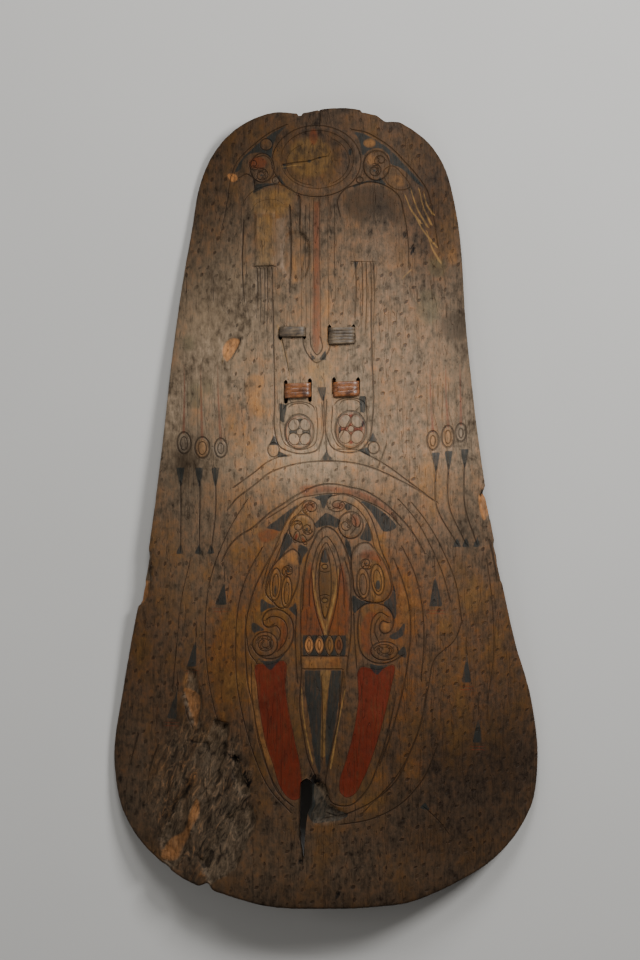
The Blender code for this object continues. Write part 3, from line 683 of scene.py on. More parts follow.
def draw_face(d):
    """The crowded work under the arches: crescents, coils, a star and two scroll heads."""
    d.fill("black",
        corners(311, 497.4, 322, 495, 334, 493.6, 327.4, 500.2, 325, 508.6, 322.6, 508.6,
            320, 500.6),
        corners(314, 524.2, 320.4, 517.6, 325.4, 512.6, 329, 513.6, 341, 520.4, 337.2, 528.2,
            330, 525.6, 322, 526, 316.6, 528.6),
        blob(359.4, 500, 367.4, 502.6, 378.9, 509, 389.3, 517.3, 396.5, 527, 383.8, 531.6, 377.8, 522.6,
            369.7, 510.4),
        blob(298.4, 504.4, 289.4, 510, 277.9, 519, 267, 528.4, 273, 529.4, 281, 531, 284.5, 524,
            290.5, 514.2),
        blob(286.6, 532.5, 281.6, 545, 279.6, 560, 285.4, 550.7, 292.7, 540.8, 289.6, 535),
        blob(366.3, 522.6, 370.6, 531.7, 370.6, 541.5, 366.2, 540.8, 360, 538.6, 363.8, 531),
        blob(300, 544.6, 307.8, 549, 303.6, 557, 300.4, 565.6),
        blob(344.6, 536, 350.4, 546, 351.2, 560, 347.4, 552),
        blob(346, 503.4, 352.6, 506.4, 347.2, 510.6, 345, 508), oval(307.2, 529.2, 1.7, 1.7))
    band = flow(305, 500.6, 296, 508.6, 287, 520.6, 279.6, 536, 273, 552, 267.6, 566, 262, 586)
    d.line(1.1, band)
    d.line(0.9, band + (4.6, 2.6))
    d.fill("orange",
        blob(303, 503, 292, 514.6, 283.4, 528, 277.6, 543, 270, 562, 276.6, 549, 284.6, 532, 294, 517),
        blob(356, 500, 367, 514, 373.4, 530, 378, 548, 374.6, 546, 369.4, 530, 361, 512, 352, 503))
    right_band = flow(330, 496.6, 340, 494.6, 352, 497, 362, 504.6, 371, 518, 376.6, 534, 381, 550,
        388, 566, 394, 590)
    d.line(1.1, right_band)
    d.line(0.9, flow(345, 502, 356, 507.6, 364, 517, 370.4, 530, 374.6, 548, 380, 560),
        coil(297.6, 526.4, 6.0, 6.2, 200, 480, 0.35), coil(307.2, 529.2, 5.8, 6.2, 20, 480, 0.35),
        coil(345.4, 525.6, 6.4, 6.6, -60, 480, 0.32))
    d.line(1.0, coil(310.4, 507.4, 9.4, 8.2, 120, 560, 0.22),
        coil(337.2, 505.4, 10.6, 7.6, 200, -560, 0.22), oval(355.6, 520.6, 4.6, 7.2, lean=-15),
        flow(309.2, 606, 309.6, 582, 313.5, 560, 318.6, 545, 326, 536.6, 334, 546, 339.6, 562, 343.6, 584,
            343.8, 606))
    d.fill("reddish", oval(309.4, 506.4, 5.6, 4.6), oval(338.6, 505.8, 6.2, 3.6),
        oval(355.6, 520.6, 3.8, 6.2, lean=-15))
    for across, down, size in ((301.8, 528.6, 13), (350.6, 525.4, 12.4)):
        d.line(1.4, oval(across, down, size, size + 1))
        d.step(oval(across, down, size, size), 0.9)
    d.fill("greyish", oval(297.6, 526.4, 2.4, 2.4), oval(345.4, 525.6, 2.4, 2.4))
    for across, down, wide, high, lean in ((296.2, 537, 2.7, 6.0, 18), (303.6, 540, 2.6, 5.4, -24)):
        d.line(0.9, oval(across, down, wide, high, lean=lean))
        d.fill("red", oval(across, down, wide - 1.5, high - 2.2, lean=lean))
    d.line(0.8, flow(351.6, 515, 355.4, 521, 355.4, 528, 351, 534),
        flow(314.6, 590, 315.6, 572, 319.6, 553, 326, 543, 332, 553, 336.6, 570, 337.6, 590))
    d.line(1.5,
        flow(302.4, 609, 303, 588.5, 304.2, 572, 307.4, 556, 313.6, 541, 318.4, 532, 326, 527.2, 334, 530.6,
            339.6, 538, 345, 549, 349.6, 564, 350.6, 590, 349.8, 609))


def draw_nested_loops(d):
    """The nested hanging loops on both sides of the lens, each with its eye."""
    left = blob(294, 549.6, 299.4, 556, 299, 567, 298.4, 580, 293, 596, 287, 606, 281, 608.6, 272.5, 601.4,
        266.4, 595, 266, 583, 272, 567.4, 281, 557.4)
    right = blob(358, 545, 368, 543, 375, 550, 384, 562.4, 390, 578, 391.4, 590, 384, 601, 366, 601.4,
        355.6, 594, 352.6, 578, 350.8, 562.4, 352.2, 552)
    for ring in (left, right):
        d.line(1.4, ring)
        d.step(ring, 0.7)
    d.fill("orange", blob(294, 551, 299, 557, 298, 566, 290, 563, 282, 566, 275, 572, 280.6, 560))
    d.fill("reddish", blob(374, 551, 383, 563, 388, 576, 382, 566, 372, 560, 360, 556, 362, 551))
    d.fill("greyish", blob(359, 546, 368, 544.6, 372, 550, 362, 553, 355, 556))
    for across, down, wide, high, lean in (
        (275.2, 584.6, 5.6, 16.4, 4), (286.4, 592.4, 5.2, 15.8, 3), (363, 583.6, 6.4, 15.2, -3),
        (377.4, 580, 6.6, 15.6, -6),
    ):
        d.line(1.2, oval(across, down, wide, high, lean=lean))
        inner = oval(across, down + 1.0, wide - 2.7, high - 4.6, lean=lean)
        d.line(0.9, inner)
        d.fill("orange", oval(across, down, wide - 0.8, high - 1.0, lean=lean), holes=(inner,))
    d.fill("black", oval(377.8, 585, 2.4, 5.0), oval(275.4, 590.5, 1.0, 5.0),
        oval(288.2, 571.4, 1.5, 1.5), oval(366, 563.6, 1.5, 1.5),
        blob(261, 598.8, 269, 603.5, 277.4, 606.6, 268, 608.6, 261, 612.4, 260.4, 605),
        blob(295.4, 601.4, 296.6, 608, 296.4, 616.4, 292, 612.4, 288.4, 608.4, 293, 606),
        blob(352.6, 595, 360, 600, 371.4, 602.2, 362, 606.4, 354, 613.4, 352.4, 604),
        blob(383.4, 603.8, 390, 597, 394, 585.6, 396, 599.4, 394.4, 619.4, 388.6, 609.4))
    d.line(1.0, coil(288.2, 571.4, 6.4, 6.6, 140, 520, 0.22), coil(366, 563.6, 6.8, 6.6, 40, 520, 0.22))


def draw_great_scrolls(d):
    """The big scrolls below the loops, with their eyes and red crescents."""
    d.line(1.4,
        flow(273.4, 624.4, 269.6, 627.6, 264.8, 626, 262.4, 620.4, 265.4, 613.4, 273, 609.6, 282, 611,
            290, 617.4, 293.4, 628, 292.4, 640, 286, 651.6, 276, 658.2, 266, 658.6, 257, 654, 252, 646),
        flow(358.6, 609.6, 365, 604.6, 374, 603.2, 385, 606.4, 392.4, 614.6, 393.4, 624, 389.4, 632.4,
            382.4, 633.4, 379.4, 627.6, 382.6, 621.4, 387.6, 622.8),
        flow(359.6, 611, 357.8, 624, 358, 640, 361.8, 654, 370.6, 661.4, 382, 663.8, 394, 661,
            402.4, 655.6))
    d.line(1.0, flow(266, 620, 268.8, 617.8, 277, 617, 284.4, 621.4, 287.2, 631, 284.6, 643, 278, 651),
        flow(270, 628, 276, 626, 279.6, 630, 279.6, 637, 277, 641.4),
        flow(387, 616, 380, 612.6, 373.4, 618, 370.6, 630, 371.4, 643, 373.6, 649),
        flow(379.4, 617.6, 375.6, 624, 375, 634, 378.4, 641.6),
        flow(245.4, 617, 246.6, 640, 250.4, 655, 256, 662))
    d.fill("reddish",
        blob(280.4, 618.8, 285.4, 623, 287, 632.7, 283.9, 644, 277.4, 650.6, 278.9, 643.3, 281.5, 634.4,
            281, 626),
        blob(368, 612.6, 362.4, 622, 360.6, 637.3, 364.3, 651.6, 371, 655.4, 370.6, 645, 369.4, 632.7,
            372, 620, 377, 613.8))
    d.fill("orange", oval(386.2, 626.6, 4.6, 4.6))
    for across, down, wide, high in ((264.9, 644.3, 12.6, 12.2), (384.3, 651.2, 13.8, 9.2)):
        d.line(1.2, oval(across, down, wide, high))
        d.line(0.7, coil(across, down, wide * 0.78, high * 0.76, 200, 760, 0.25))
        d.step(oval(across, down, wide, high), 0.7)
    d.fill("black", blob(252.6, 622.4, 258, 625, 264.4, 630.6, 258, 631.6, 253.8, 633),
        blob(256.2, 657.2, 265.3, 661, 274.4, 660.4, 284.9, 653.6, 276.4, 663.9, 270.4, 670,
            263, 663.6), blob(369.6, 663.6, 378.8, 665.6, 391, 663, 383, 669, 377.6, 675),
        blob(388.5, 636.9, 397.8, 631, 404.4, 623, 402.7, 635.4, 394.4, 639.6),
        blob(397.8, 653.3, 404.4, 646.4, 405.9, 657.8))
    d.line(1.1, flow(296.4, 612, 295.4, 630, 295.4, 647.6, 297, 682),
        flow(353.5, 614, 354.5, 640, 356.6, 668))


def draw_lens_and_teeth(d):
    """The grey lens in its red ground, the row of ovals below it and the ochre bar."""
    left = blob(310.4, 562.8, 305.2, 577, 302.8, 606, 302.6, 634.6, 311, 635.4, 320.9, 634.6, 323.8, 630.4,
        318, 614.3, 314.6, 596, 312.6, 575)
    right = blob(330.2, 634.8, 338, 635.4, 346.6, 634.6, 349.2, 621, 347.2, 584.4, 341.4, 563.5, 338.2, 574,
        336, 596, 332.4, 613, 327.6, 629)
    for strip in (left, right):
        d.fill("reddish", strip)
    lens = blob(324.6, 549, 320.4, 560, 318.6, 580, 320.2, 602, 324.8, 619.5, 330, 602, 331.2, 580,
        329, 560)
    d.fill("shade", oval(325, 584, 6.4, 20))
    d.fill("black", blob(324.4, 549.4, 321.6, 557, 321.2, 562, 328, 562, 327.4, 557))
    d.line(1.2, lens)
    d.step(lens, 0.6)
    d.line(1.6, flow(313.2, 573, 315.4, 596, 319.2, 613, 325.2, 632),
        flow(338.2, 570, 335.4, 592, 331, 612, 325.6, 632), thin=2.4, hue=PALE)
    d.line(1.0, flow(311.2, 573, 313, 596, 316.6, 615, 323.4, 636),
        flow(340.2, 570, 338, 592, 334, 613, 327.8, 636))
    for down, side in ((566.8, 1), (600.5, -1)):
        d.line(0.8, oval(324.6, down, 3.2, 2.4))
        d.fill("ochre", oval(324.6, down, 2.4, 1.6))
        d.line(0.6, flow((320.6, down + side * 4.6), (324.8, down + side * 5.8), (329, down + side * 4.6)))
    band = corners(302.6, 635, 346, 635.4, 345.6, 656, 302.6, 655.6)
    ovals = [blob((across - wide, 645.4), (across - wide * 0.55, 638), (across, 635.2),
        (across + wide * 0.55, 638), (across + wide, 645.4), (across + wide * 0.55, 652.6), (across, 655.4),
        (across - wide * 0.55, 652.6)) for across, wide in ((309, 4.7), (319.2, 4.7), (329.3, 4.4),
        (338.6, 4.2))]
    d.fill("black", band, holes=ovals)
    for ring, paint in zip(ovals, ("bare", "bare", "orange", "reddish")):
        middle = ring.mean(axis=0)
        d.fill(paint, middle + (ring - middle) * (0.86, 0.72))
        d.line(0.8, middle + (ring - middle) * (0.36, 0.56))
        d.line(0.7, ring)
    bar = corners(303.6, 657, 340.8, 657, 340.4, 668.6, 304, 668.6)
    d.fill("orange", bar)
    d.fill("reddish", corners(329.4, 658, 340.2, 658, 339.8, 666, 329.8, 666))
    d.line(1.1, corners(302.6, 656.2, 346, 656.4), corners(303.6, 669.2, 342, 669.2))
    d.line(1.2, flow(306.4, 560, 303, 575, 300.9, 596, 300.6, 635, 300.8, 668),
        flow(344.5, 560, 348.8, 574, 350.9, 600, 350.6, 635, 346.4, 671))


def draw_red_fields(d):
    """The two long red fields, the blue-black wedges between them and their contours."""
    left = blob(257, 664, 268, 664.6, 284.2, 661, 285.2, 688.3, 289.2, 713.8, 294.4, 739.3, 299.8, 764.8,
        301.6, 779, 300.2, 798, 294, 800.4, 287.6, 797.4, 280.6, 787.8, 273, 764.8, 266.4, 745.7,
        260.2, 713.8, 257.2, 688.3)
    right = blob(361.6, 667, 378, 670, 393.6, 665, 390.7, 688.3, 383, 721.4, 374, 752, 362.7, 780,
        354, 794.6, 346.4, 797.6, 340.4, 792.9, 339.4, 782.7, 344.6, 764.8, 352, 739.3, 358.4, 701)
    d.fill("red", left)
    d.fill("red", right)
    for shape in (left, right):
        d.line(0.1, shape)
        d.step(shape, -0.5)
    d.line(1.2, flow(345, 690, 340, 715, 334.6, 745, 330.5, 768), thin=1.8, hue=PALE)
    d.line(1.2, flow(301.6, 690, 303.4, 715, 307.4, 740, 312.4, 762), thin=1.6, hue=PALE)
    d.fill("orange",
        blob(249, 676, 256, 680, 257.6, 700, 262, 726, 268.6, 750, 277, 776, 266, 760, 256, 735,
            250.6, 706))
    d.line(1.0, flow(251, 664, 251.4, 690, 255.4, 722, 261.6, 748, 272, 780, 284, 800),
        flow(321.4, 676, 322.2, 710, 321.8, 758),
        flow(262, 548, 249, 571, 241, 592, 236.6, 618, 235.4, 650, 237.6, 690, 244, 722, 254, 756, 270, 790,
            290, 812), flow(402, 547, 414, 572, 421.4, 602, 424, 640, 421, 680))
    d.fill("black",
        corners(304.6, 670.4, 320, 670.4, 321.6, 690, 321, 730, 320.4, 778, 316, 766, 312.6, 745,
            308.6, 715, 305.1, 694),
        corners(330.8, 670.4, 341.6, 670.4, 340.4, 692, 336.4, 716, 331.6, 748, 325.6, 776, 325.2, 745,
            326.4, 715, 328.6, 690),
        blob(312, 780, 321, 792, 327, 803, 337, 810, 349, 815, 340, 820, 326, 822, 314, 823))
    d.fill("ochre",
        blob(321.6, 670.4, 329.6, 670.4, 327.6, 690, 325.4, 715, 324.2, 757, 321.8, 757, 322.2, 715,
            322.6, 690))
    d.line(1.2, flow(301.2, 670, 300, 713.8, 303.4, 735, 307.8, 758.4, 315.5, 777),
        flow(343, 672, 341, 688, 338, 720, 333, 742, 328.2, 764.8, 325.7, 787.8, 332, 803, 350, 805.6,
            364, 794, 379, 762, 389, 728, 396, 694),
        flow(394, 560, 402, 580, 408, 600, 410.6, 634, 407.6, 664, 400.6, 700, 391, 734, 380, 764))
    d.line(1.3, flow(427, 690, 420, 726.5, 408.6, 755.9, 397, 780, 376.7, 799, 348.6, 813.3, 321.8, 819.6),
        flow(277.9, 545, 263, 570, 253.8, 590.2, 249.2, 605.1, 245.7, 624.6, 245, 646.4, 246, 664.8,
            247.6, 684, 253, 707, 258, 739, 266, 765, 279, 794, 292, 806))
    d.line(1.1, flow(341, 824.7, 370.3, 819.6, 401, 804, 424, 778, 438, 745))


def draw_sides(d):
    """The black triangles down both sides, with the long lines that they hang on."""
    for points in (
        ((435, 574), (442.6, 606.4), (429.2, 606.4)), ((466.6, 654), (471.6, 682.6), (461.6, 682.6)),
        ((478.8, 714), (481.8, 742.6), (472.4, 742.6)), ((224.6, 581), (226.6, 604.6), (215, 604.6)),
        ((196.4, 636), (196.4, 666.6), (186.8, 666.6)), ((177.4, 690), (176.6, 718.6), (166.4, 718.6)),
    ):
        apex, right, left = points
        d.fill("black", corners(*points))
        for shift in (4.0, 7.0):
            d.line(0.7, corners((left[0] - 1, left[1] + shift), (right[0] + 1, right[1] + shift)), hue=RED)
        d.line(1.0, flow(apex, (apex[0] - 0.4, apex[1] - 8), (apex[0] - 0.4, apex[1] - 16)), thin=0.4)
    d.line(0.9, flow(399, 500, 416, 520, 430, 545, 442, 572, 450, 600),
        flow(412, 503, 428, 524, 443, 551, 456, 584, 462, 622),
        flow(462, 622, 455, 640, 435, 659, 428, 690, 419, 730, 399, 773, 364, 812),
        flow(247, 500, 232, 524, 219, 552, 209, 584, 205, 620, 206, 660, 212, 700, 222, 738))
    d.line(0.7, flow(190, 560, 181, 600, 176, 650, 172, 690), flow(487, 560, 492, 600, 494, 650, 488, 700))
    d.fill("black", corners(418, 808, 425, 803, 432, 811, 425, 809.5))
    d.line(0.9, flow(425, 808, 438, 820, 449, 834), thin=0.5)


def draw_wear(d):
    """Splits, scratches, dents and places where bare wood shows, with painted highlights along a
    raised crack and painted shadow in small holes.
    """
    for thick, *points in (
        (2.2, (147.5, 548), (147, 566), (147.8, 583)), (2.6, (300, 838), (303.5, 848), (304.5, 857)),
        (3.2, (190, 786), (182, 797), (174, 811)), (2.6, (189, 741), (197, 743), (205, 743)),
        (2.4, (205, 744), (207, 765), (205, 785), (201, 798)), (2.2, (184.6, 700), (187, 716), (192, 728)),
        (2.0, (138, 734), (134, 748), (130, 764)), (1.4, (158, 745), (150, 766), (146, 790)),
        (1.0, (178, 760), (172, 782), (168, 800)), (1.8, (328, 814), (340, 817), (350, 813)),
        (2.2, (249, 797), (240, 806), (228, 816), (212, 834), (196, 855)),
        (2.0, (214, 721), (222, 722), (228, 726)), (2.4, (224, 727), (225, 742), (224, 757)),
        (1.8, (319.2, 112), (319.6, 118), (319, 126)), (2.4, (298.6, 196), (299.6, 212), (299, 230)),
        (2.0, (243.6, 221), (242, 262), (243.6, 300)), (2.0, (289.6, 229), (290.6, 262), (289.4, 291)),
        (1.4, (282, 340), (284.5, 352), (288.5, 371)), (1.5, (240.6, 338), (237.8, 346), (232, 358)),
        (2.2, (490, 541), (494, 560), (497, 580)),
    ):
        d.line(thick, flow(*points), thin=thick * 0.4)
    # Pale lines. The two that run down below the upper left lashing are painted highlights on the raised
    # edge of a crack.
    for thick, *points in (
        (1.6, (403, 278), (407, 273.6), (411, 270)), (2.4, (278, 326), (282, 342), (285, 360)),
        (1.2, (285.6, 352), (288, 364), (290, 378)), (1.6, (222.6, 362), (224, 355), (228, 350)),
    ):
        d.line(thick, flow(*points), thin=thick * 0.5, hue=PALE)
    d.fill("bare", blob(185, 688, 192, 690, 199, 697, 198.4, 712, 195, 727, 190.4, 716, 186.6, 703),
        blob(196, 799, 198, 811, 191, 828, 181, 846, 172, 861, 163, 860, 162, 848, 169, 838, 179, 833,
            187, 817, 192, 805), blob(140.6, 582, 146.6, 580, 147, 592, 142, 604),
        blob(480, 494, 486, 493, 490, 512, 484, 520, 480, 508),
        blob(222, 350, 233, 338, 239, 340, 235, 350, 226, 361))
    d.fill("orange", blob(185, 674, 190, 672, 194, 682, 192, 690, 186, 690), oval(453, 257, 5, 8),
        blob(252, 374, 262, 376, 260, 400, 262, 418, 255, 416))
    for start, end in (
        ((405, 195), (420, 222)), ((411, 190), (427, 226)), ((419, 189), (431, 224)),
        ((414, 214), (436, 246)), ((424, 194), (433, 214)), ((427, 232), (440, 262)),
    ):
        middle = ((start[0] + end[0]) / 2 - 1.5, (start[1] + end[1]) / 2 + 1)
        d.line(0.9, flow(start, middle, end), thin=2.0, hue=PALE)
    d.fill("shade", blob(228, 756, 244, 758, 254, 778, 250, 799, 236, 790, 229, 774),
        corners(312, 783, 328, 783, 329, 820, 312, 820), blob(181, 700, 186, 702, 190, 728, 184, 730),
        blob(442, 316, 465, 316, 466, 338, 444, 338))
    d.fill("olive", blob(184, 336, 192, 336, 193, 350, 184, 350),
        blob(192, 383, 198, 383, 198, 409, 193, 408), blob(204, 379, 210, 379, 210, 394, 205, 394),
        blob(424, 290, 433, 291, 432, 325, 425, 324), blob(430, 259, 444, 260, 443, 276, 431, 275))
    # Near-black pits, each sunk a little: small holes, the place beside the top of the split and dark spots
    # in the rot. Their black is partly rotten wood and partly the painted shadow of a deeper hole.
    d.fill("rot", blob(227, 755, 236, 757, 241, 764, 236, 763),
        blob(243, 768, 249, 776, 250, 790, 245, 783), corners(311, 776, 321, 777, 321, 784, 312, 783),
        oval(337, 895, 2.6, 1.8), oval(299.6, 861, 2.0, 3.4), oval(484, 490.6, 2.4, 3.4),
        oval(413, 249, 1.8, 4.0), oval(405.5, 235, 1.8, 3.6), oval(238.6, 338, 2.0, 1.6),
        oval(236, 386, 1.6, 3.2, lean=-35))
    d.step(blob(291, 232, 300, 232, 300, 280, 291, 280), -2.4, 1.2)
    d.step(blob(275, 205, 285, 205, 286, 290, 275, 290), -0.8, 1.4)
    d.step(blob(222, 350, 233, 337, 240, 339, 236, 350, 226, 362), -2.0, 1.0)


# Where tick marks are left out: the work that covers the middle, and the flanks' stripes.
TICK_FREE = (
    blob(232, 185, 262, 134, 316, 117, 372, 128, 420, 180, 405, 262, 372, 268, 345, 262, 335, 380, 330, 462,
        300, 462, 298, 330, 290, 262, 243, 262),
    blob(262, 395, 380, 395, 386, 452, 326, 462, 262, 455),
    blob(325, 490, 366, 503, 392, 538, 412, 600, 424, 640, 404, 740, 374, 800, 325, 824, 282, 806, 250, 742,
        238, 650, 246, 590, 262, 540, 285, 507),
    corners(166, 300, 226, 300, 228, 556, 166, 556),
    corners(424, 300, 470, 300, 478, 556, 424, 556),
)

# Broad differences of tone and warmth: middle across and down, half width and half height, and
# what they add to the tone and the warmth. Some are painted light, such as the brighter middle and
# the darker flanks; others are the wood's own differences.
PATCHES = (
    (205, 345, 26, 60, 0.12, -0.45), (172, 412, 10, 26, 0.20, -0.60), (196, 462, 34, 40, -0.24, -0.50),
    (215, 300, 30, 40, -0.08, -0.30), (300, 400, 60, 50, 0.04, -0.10), (400, 395, 42, 60, -0.08, 0.0),
    (184, 456, 12, 26, -0.16, -0.30), (462, 340, 14, 60, -0.14, -0.20), (466, 520, 14, 40, -0.16, -0.40),
    (244, 420, 24, 30, 0.02, 0.25), (235, 300, 24, 60, 0.0, -0.35), (300, 465, 54, 34, 0.24, -0.15),
    (430, 230, 26, 60, -0.09, 0.20), (316, 160, 42, 34, -0.05, 0.10), (400, 600, 30, 60, 0.08, 0.40),
    (270, 590, 40, 60, 0.05, 0.25), (225, 660, 20, 50, 0.05, 0.35), (190, 590, 40, 70, 0.03, -0.25),
    (440, 760, 70, 70, -0.06, -0.05), (413, 766, 12, 20, 0.10, 0.35), (379, 778, 9, 16, 0.10, 0.35),
    (362, 806, 20, 7, 0.09, 0.30), (402, 700, 16, 30, 0.05, 0.30), (505, 720, 30, 90, -0.05, -0.15),
    (225, 850, 40, 26, 0.0, -0.20), (440, 850, 80, 50, -0.05, -0.05), (140, 760, 30, 70, 0.05, -0.20),
    (480, 690, 40, 50, 0.04, 0.20), (380, 205, 40, 22, -0.07, 0.0),
)
# The tone and the warmth down the sheet. The tone's fall towards the foot is partly patina and partly
# painted falloff of the light.
TONE_DOWN = ((100, 0.12), (150, 0.14), (200, 0.20), (250, 0.28), (300, 0.38), (350, 0.50),
             (400, 0.57), (450, 0.60), (500, 0.45), (560, 0.30), (620, 0.24), (700, 0.19),
             (760, 0.13), (820, 0.14), (870, 0.15), (910, 0.07))
WARMTH_DOWN = ((100, 0.50), (200, 0.38), (320, 0.18), (450, 0.28), (520, 0.45), (620, 0.62),
               (720, 0.60), (800, 0.42), (910, 0.30))


def drawing():
    """All that is drawn and carved."""
    d = Drawing()
    for draw in (draw_head, draw_tabs_and_stem, draw_side_eyes, draw_paired_u, draw_arches, draw_face,
                 draw_nested_loops, draw_great_scrolls, draw_lens_and_teeth, draw_red_fields,
                 draw_sides, draw_wear):
        draw(d)
    return d


def near(shape, spots, room):
    """Numbers of the spots in a shape's box, with room around it."""
    low, high = shape.min(axis=0) - room, shape.max(axis=0) + room
    return np.nonzero(np.all((spots > low) & (spots < high), axis=1))[0]


def from_run(run, spots):
    """For each spot: its distance to a run of points, its side of it, and its share of the length.

    The nearest point of each straight piece is its start plus the piece times a share from 0 to 1.
    """
    start, piece = run[:-1], np.diff(run, axis=0)
    squares = np.maximum((piece**2).sum(axis=1), 1e-9)
    offset = spots[:, None] - start[None]
    share = np.clip((offset * piece).sum(axis=2) / squares, 0.0, 1.0)
    gap = offset - share[..., None] * piece
    distance = np.hypot(gap[..., 0], gap[..., 1])
    best = distance.argmin(axis=1)
    row = np.arange(len(spots))
    side = np.sign(piece[best, 0] * gap[row, best, 1] - piece[best, 1] * gap[row, best, 0])
    lengths = np.sqrt(squares)
    gone = np.concatenate(([0.0], np.cumsum(lengths)))
    along = (gone[best] + share[row, best] * lengths[best]) / gone[-1]
    return distance[row, best], np.where(side == 0, 1.0, side), along


def from_shape(shape, spots):
    """Signed distance to a closed shape, below 0 inside it, by the even and odd crossings rule."""
    ring = np.vstack((shape, shape[:1]))
    distance, _, _ = from_run(ring, spots)
    a, b = ring[:-1], ring[1:]
    x, y = spots[:, :1], spots[:, 1:]
    rise = np.where(b[:, 1] == a[:, 1], 1e-9, b[:, 1] - a[:, 1])
    crosses = (a[:, 1] > y) != (b[:, 1] > y)
    left_of = x < a[:, 0] + (y - a[:, 1]) / rise * (b[:, 0] - a[:, 0])
    inside = np.count_nonzero(crosses & left_of, axis=1) % 2 == 1
    return np.where(inside, -distance, distance)


def paint_fields(d, spots):
    """Signed distance of each spot to the nearest edge of each paint, at most FAR outside."""
    fields = {name: np.full(len(spots), FAR) for name in PAINTS}
    for paint, shape, holes in d.fills:
        pick = near(shape, spots, FAR)
        if not len(pick):
            continue
        distance = from_shape(shape, spots[pick])
        for hole in holes:
            distance = np.maximum(distance, -from_shape(hole, spots[pick]))
        fields[paint][pick] = np.minimum(fields[paint][pick], distance)
    return fields


def ink_layers(d, spots):
    """The lines, put into as few layers as keep them apart.

    A layer holds three numbers at each spot near a line: the signed distance to the line, which
    stays straight between spots, half the line's width there, and its hue. Away from lines the
    half width is far below zero. Two lines of one layer are never so near that their bands meet.
    """
    layers = []
    groove = np.zeros(len(spots))
    for run, thick, thin, hue in d.lines:
        if np.linalg.norm(run[0] - run[-1]) < 0.5:
            run = np.vstack((run, run[:1]))
        pick = near(run, spots, INK_BAND + INK_ROOM)
        if not len(pick):
            continue
        distance, side, along = from_run(run, spots[pick])
        band = distance < INK_BAND
        roomy = pick[distance < INK_BAND + INK_ROOM]
        free = [layer for layer in layers if not layer["used"][roomy].any()]
        if free:
            layer = free[0]
        else:
            layer = {"used": np.zeros(len(spots), bool), "ink": np.zeros((len(spots), 3), np.float32)}
            layer["ink"][:] = NO_INK
            layers.append(layer)
        where = pick[band]
        layer["used"][where] = True
        half = thick + (thin - thick) * along[band]
        layer["ink"][where] = np.stack((distance[band] * side[band], half, np.full(len(where), hue)), axis=1)
        depth = np.exp(-((distance / 1.5) ** 2)) * (hue != PALE)
        groove[pick] = np.maximum(groove[pick], depth * min(thick * 2, 2.4))
    return [layer["ink"] for layer in layers], groove


def carved_steps(d, spots):
    """Height in millimetres of the raised and sunken parts, each with a soft edge."""
    rise = np.zeros(len(spots))
    for shape, height, soft in d.steps:
        pick = near(shape, spots, soft)
        if len(pick):
            rise[pick] += height * ease(-from_shape(shape, spots[pick]), -soft / 2, soft / 2)
    return rise


def split_off(spots):
    """Depth in millimetres where layers have split off, and how bare and how rotten it is there.

    A place's depth is the mean of its corners' depths, each weighted by one over its distance
    squared, cut into uneven layers along the grain.
    """
    depth = np.zeros(len(spots))
    for seed, corners_given in enumerate(SPLIT_OFF.values()):
        table = np.array(corners_given)
        shape = np.stack(to_sheet(table[:, 0], table[:, 1]), axis=1)
        pick = near(shape, spots, 4.0)
        if not len(pick):
            continue
        here = spots[pick]
        ragged = (noise(here[:, 0], here[:, 1] / 3, 2.6, 40 + seed) - 0.5) * 3.0
        edge = from_shape(shape, here) + ragged
        weight = 1 / (((here[:, None] - shape[None]) ** 2).sum(axis=2) + 4.0)
        mean = (weight * table[:, 2]).sum(axis=1) / weight.sum(axis=1) * BOARD_THICKNESS * MM
        layer = noise(here[:, 0], here[:, 1] / 4, 4.0, 60 + seed) * 2.4 - 1.2
        wanted = np.round((mean + layer) / 0.8) * 0.8
        depth[pick] = np.maximum(depth[pick], np.maximum(wanted, 0.6) * ease(-edge, -0.6, 1.2))
    return depth


def rotten_corner(spots):
    """How worn the wood is at the lower left, from 0 to 1, fading outwards from its middle."""
    a = (spots[:, 0] - 200) / 62
    b = (spots[:, 1] - 795) / 95
    return 1 - ease(np.hypot(a, b), 0.45, 1.1)


def weathering_and_painted_light(spots):
    """Tone, warmth and tick marks: curves down the sheet, plus bell-shaped patches.

    The tone is partly the wood's own patina and partly painted light and shade: it is brightest a
    little above the middle and darkens towards the head, the foot and both sides, as the light falls
    off. A patch adds its amount times e to the minus squared distance in its half sizes.
    """
    across, down = spots[:, 0], spots[:, 1]
    tone = np.interp(down, *np.array(TONE_DOWN).T)
    warmth = np.interp(down, *np.array(WARMTH_DOWN).T)
    middle = np.interp(down, (108, 907), (324, 326))
    half = np.interp(down, (108, 300, 600, 800, 907), (112, 140, 185, 212, 150))
    out = np.abs(across - middle) / half
    # Painted shade: the tone falls by up to about a quarter towards both sides.
    tone = tone * (1 - 0.24 * ease(out, 0.35, 1.0))
    for x, y, wide, high, lighter, warmer in PATCHES:
        bell = np.exp(-(((across - x) / wide) ** 2) - ((down - y) / high) ** 2)
        tone = tone + lighter * bell
        warmth = warmth + warmer * bell
    tick = np.full(len(spots), FAR)
    for shape in TICK_FREE:
        pick = near(shape, spots, FAR)
        tick[pick] = np.minimum(tick[pick], from_shape(shape, spots[pick]))
    tick = ease(tick, -2.0, 2.0) * (1 - rotten_corner(spots))
    return tone, warmth, tick


# The board's mesh.


def graded(count, sizes):
    """count + 1 shares from 0 to 1, whose spacing follows the given relative cell sizes."""
    fine = np.linspace(0.0, 1.0, 2001)
    density = 1 / np.interp(fine, *np.array(sizes).T)
    total = np.concatenate(([0.0], np.cumsum((density[1:] + density[:-1]) / 2)))
    return np.interp(np.linspace(0, total[-1], count + 1), total, fine)


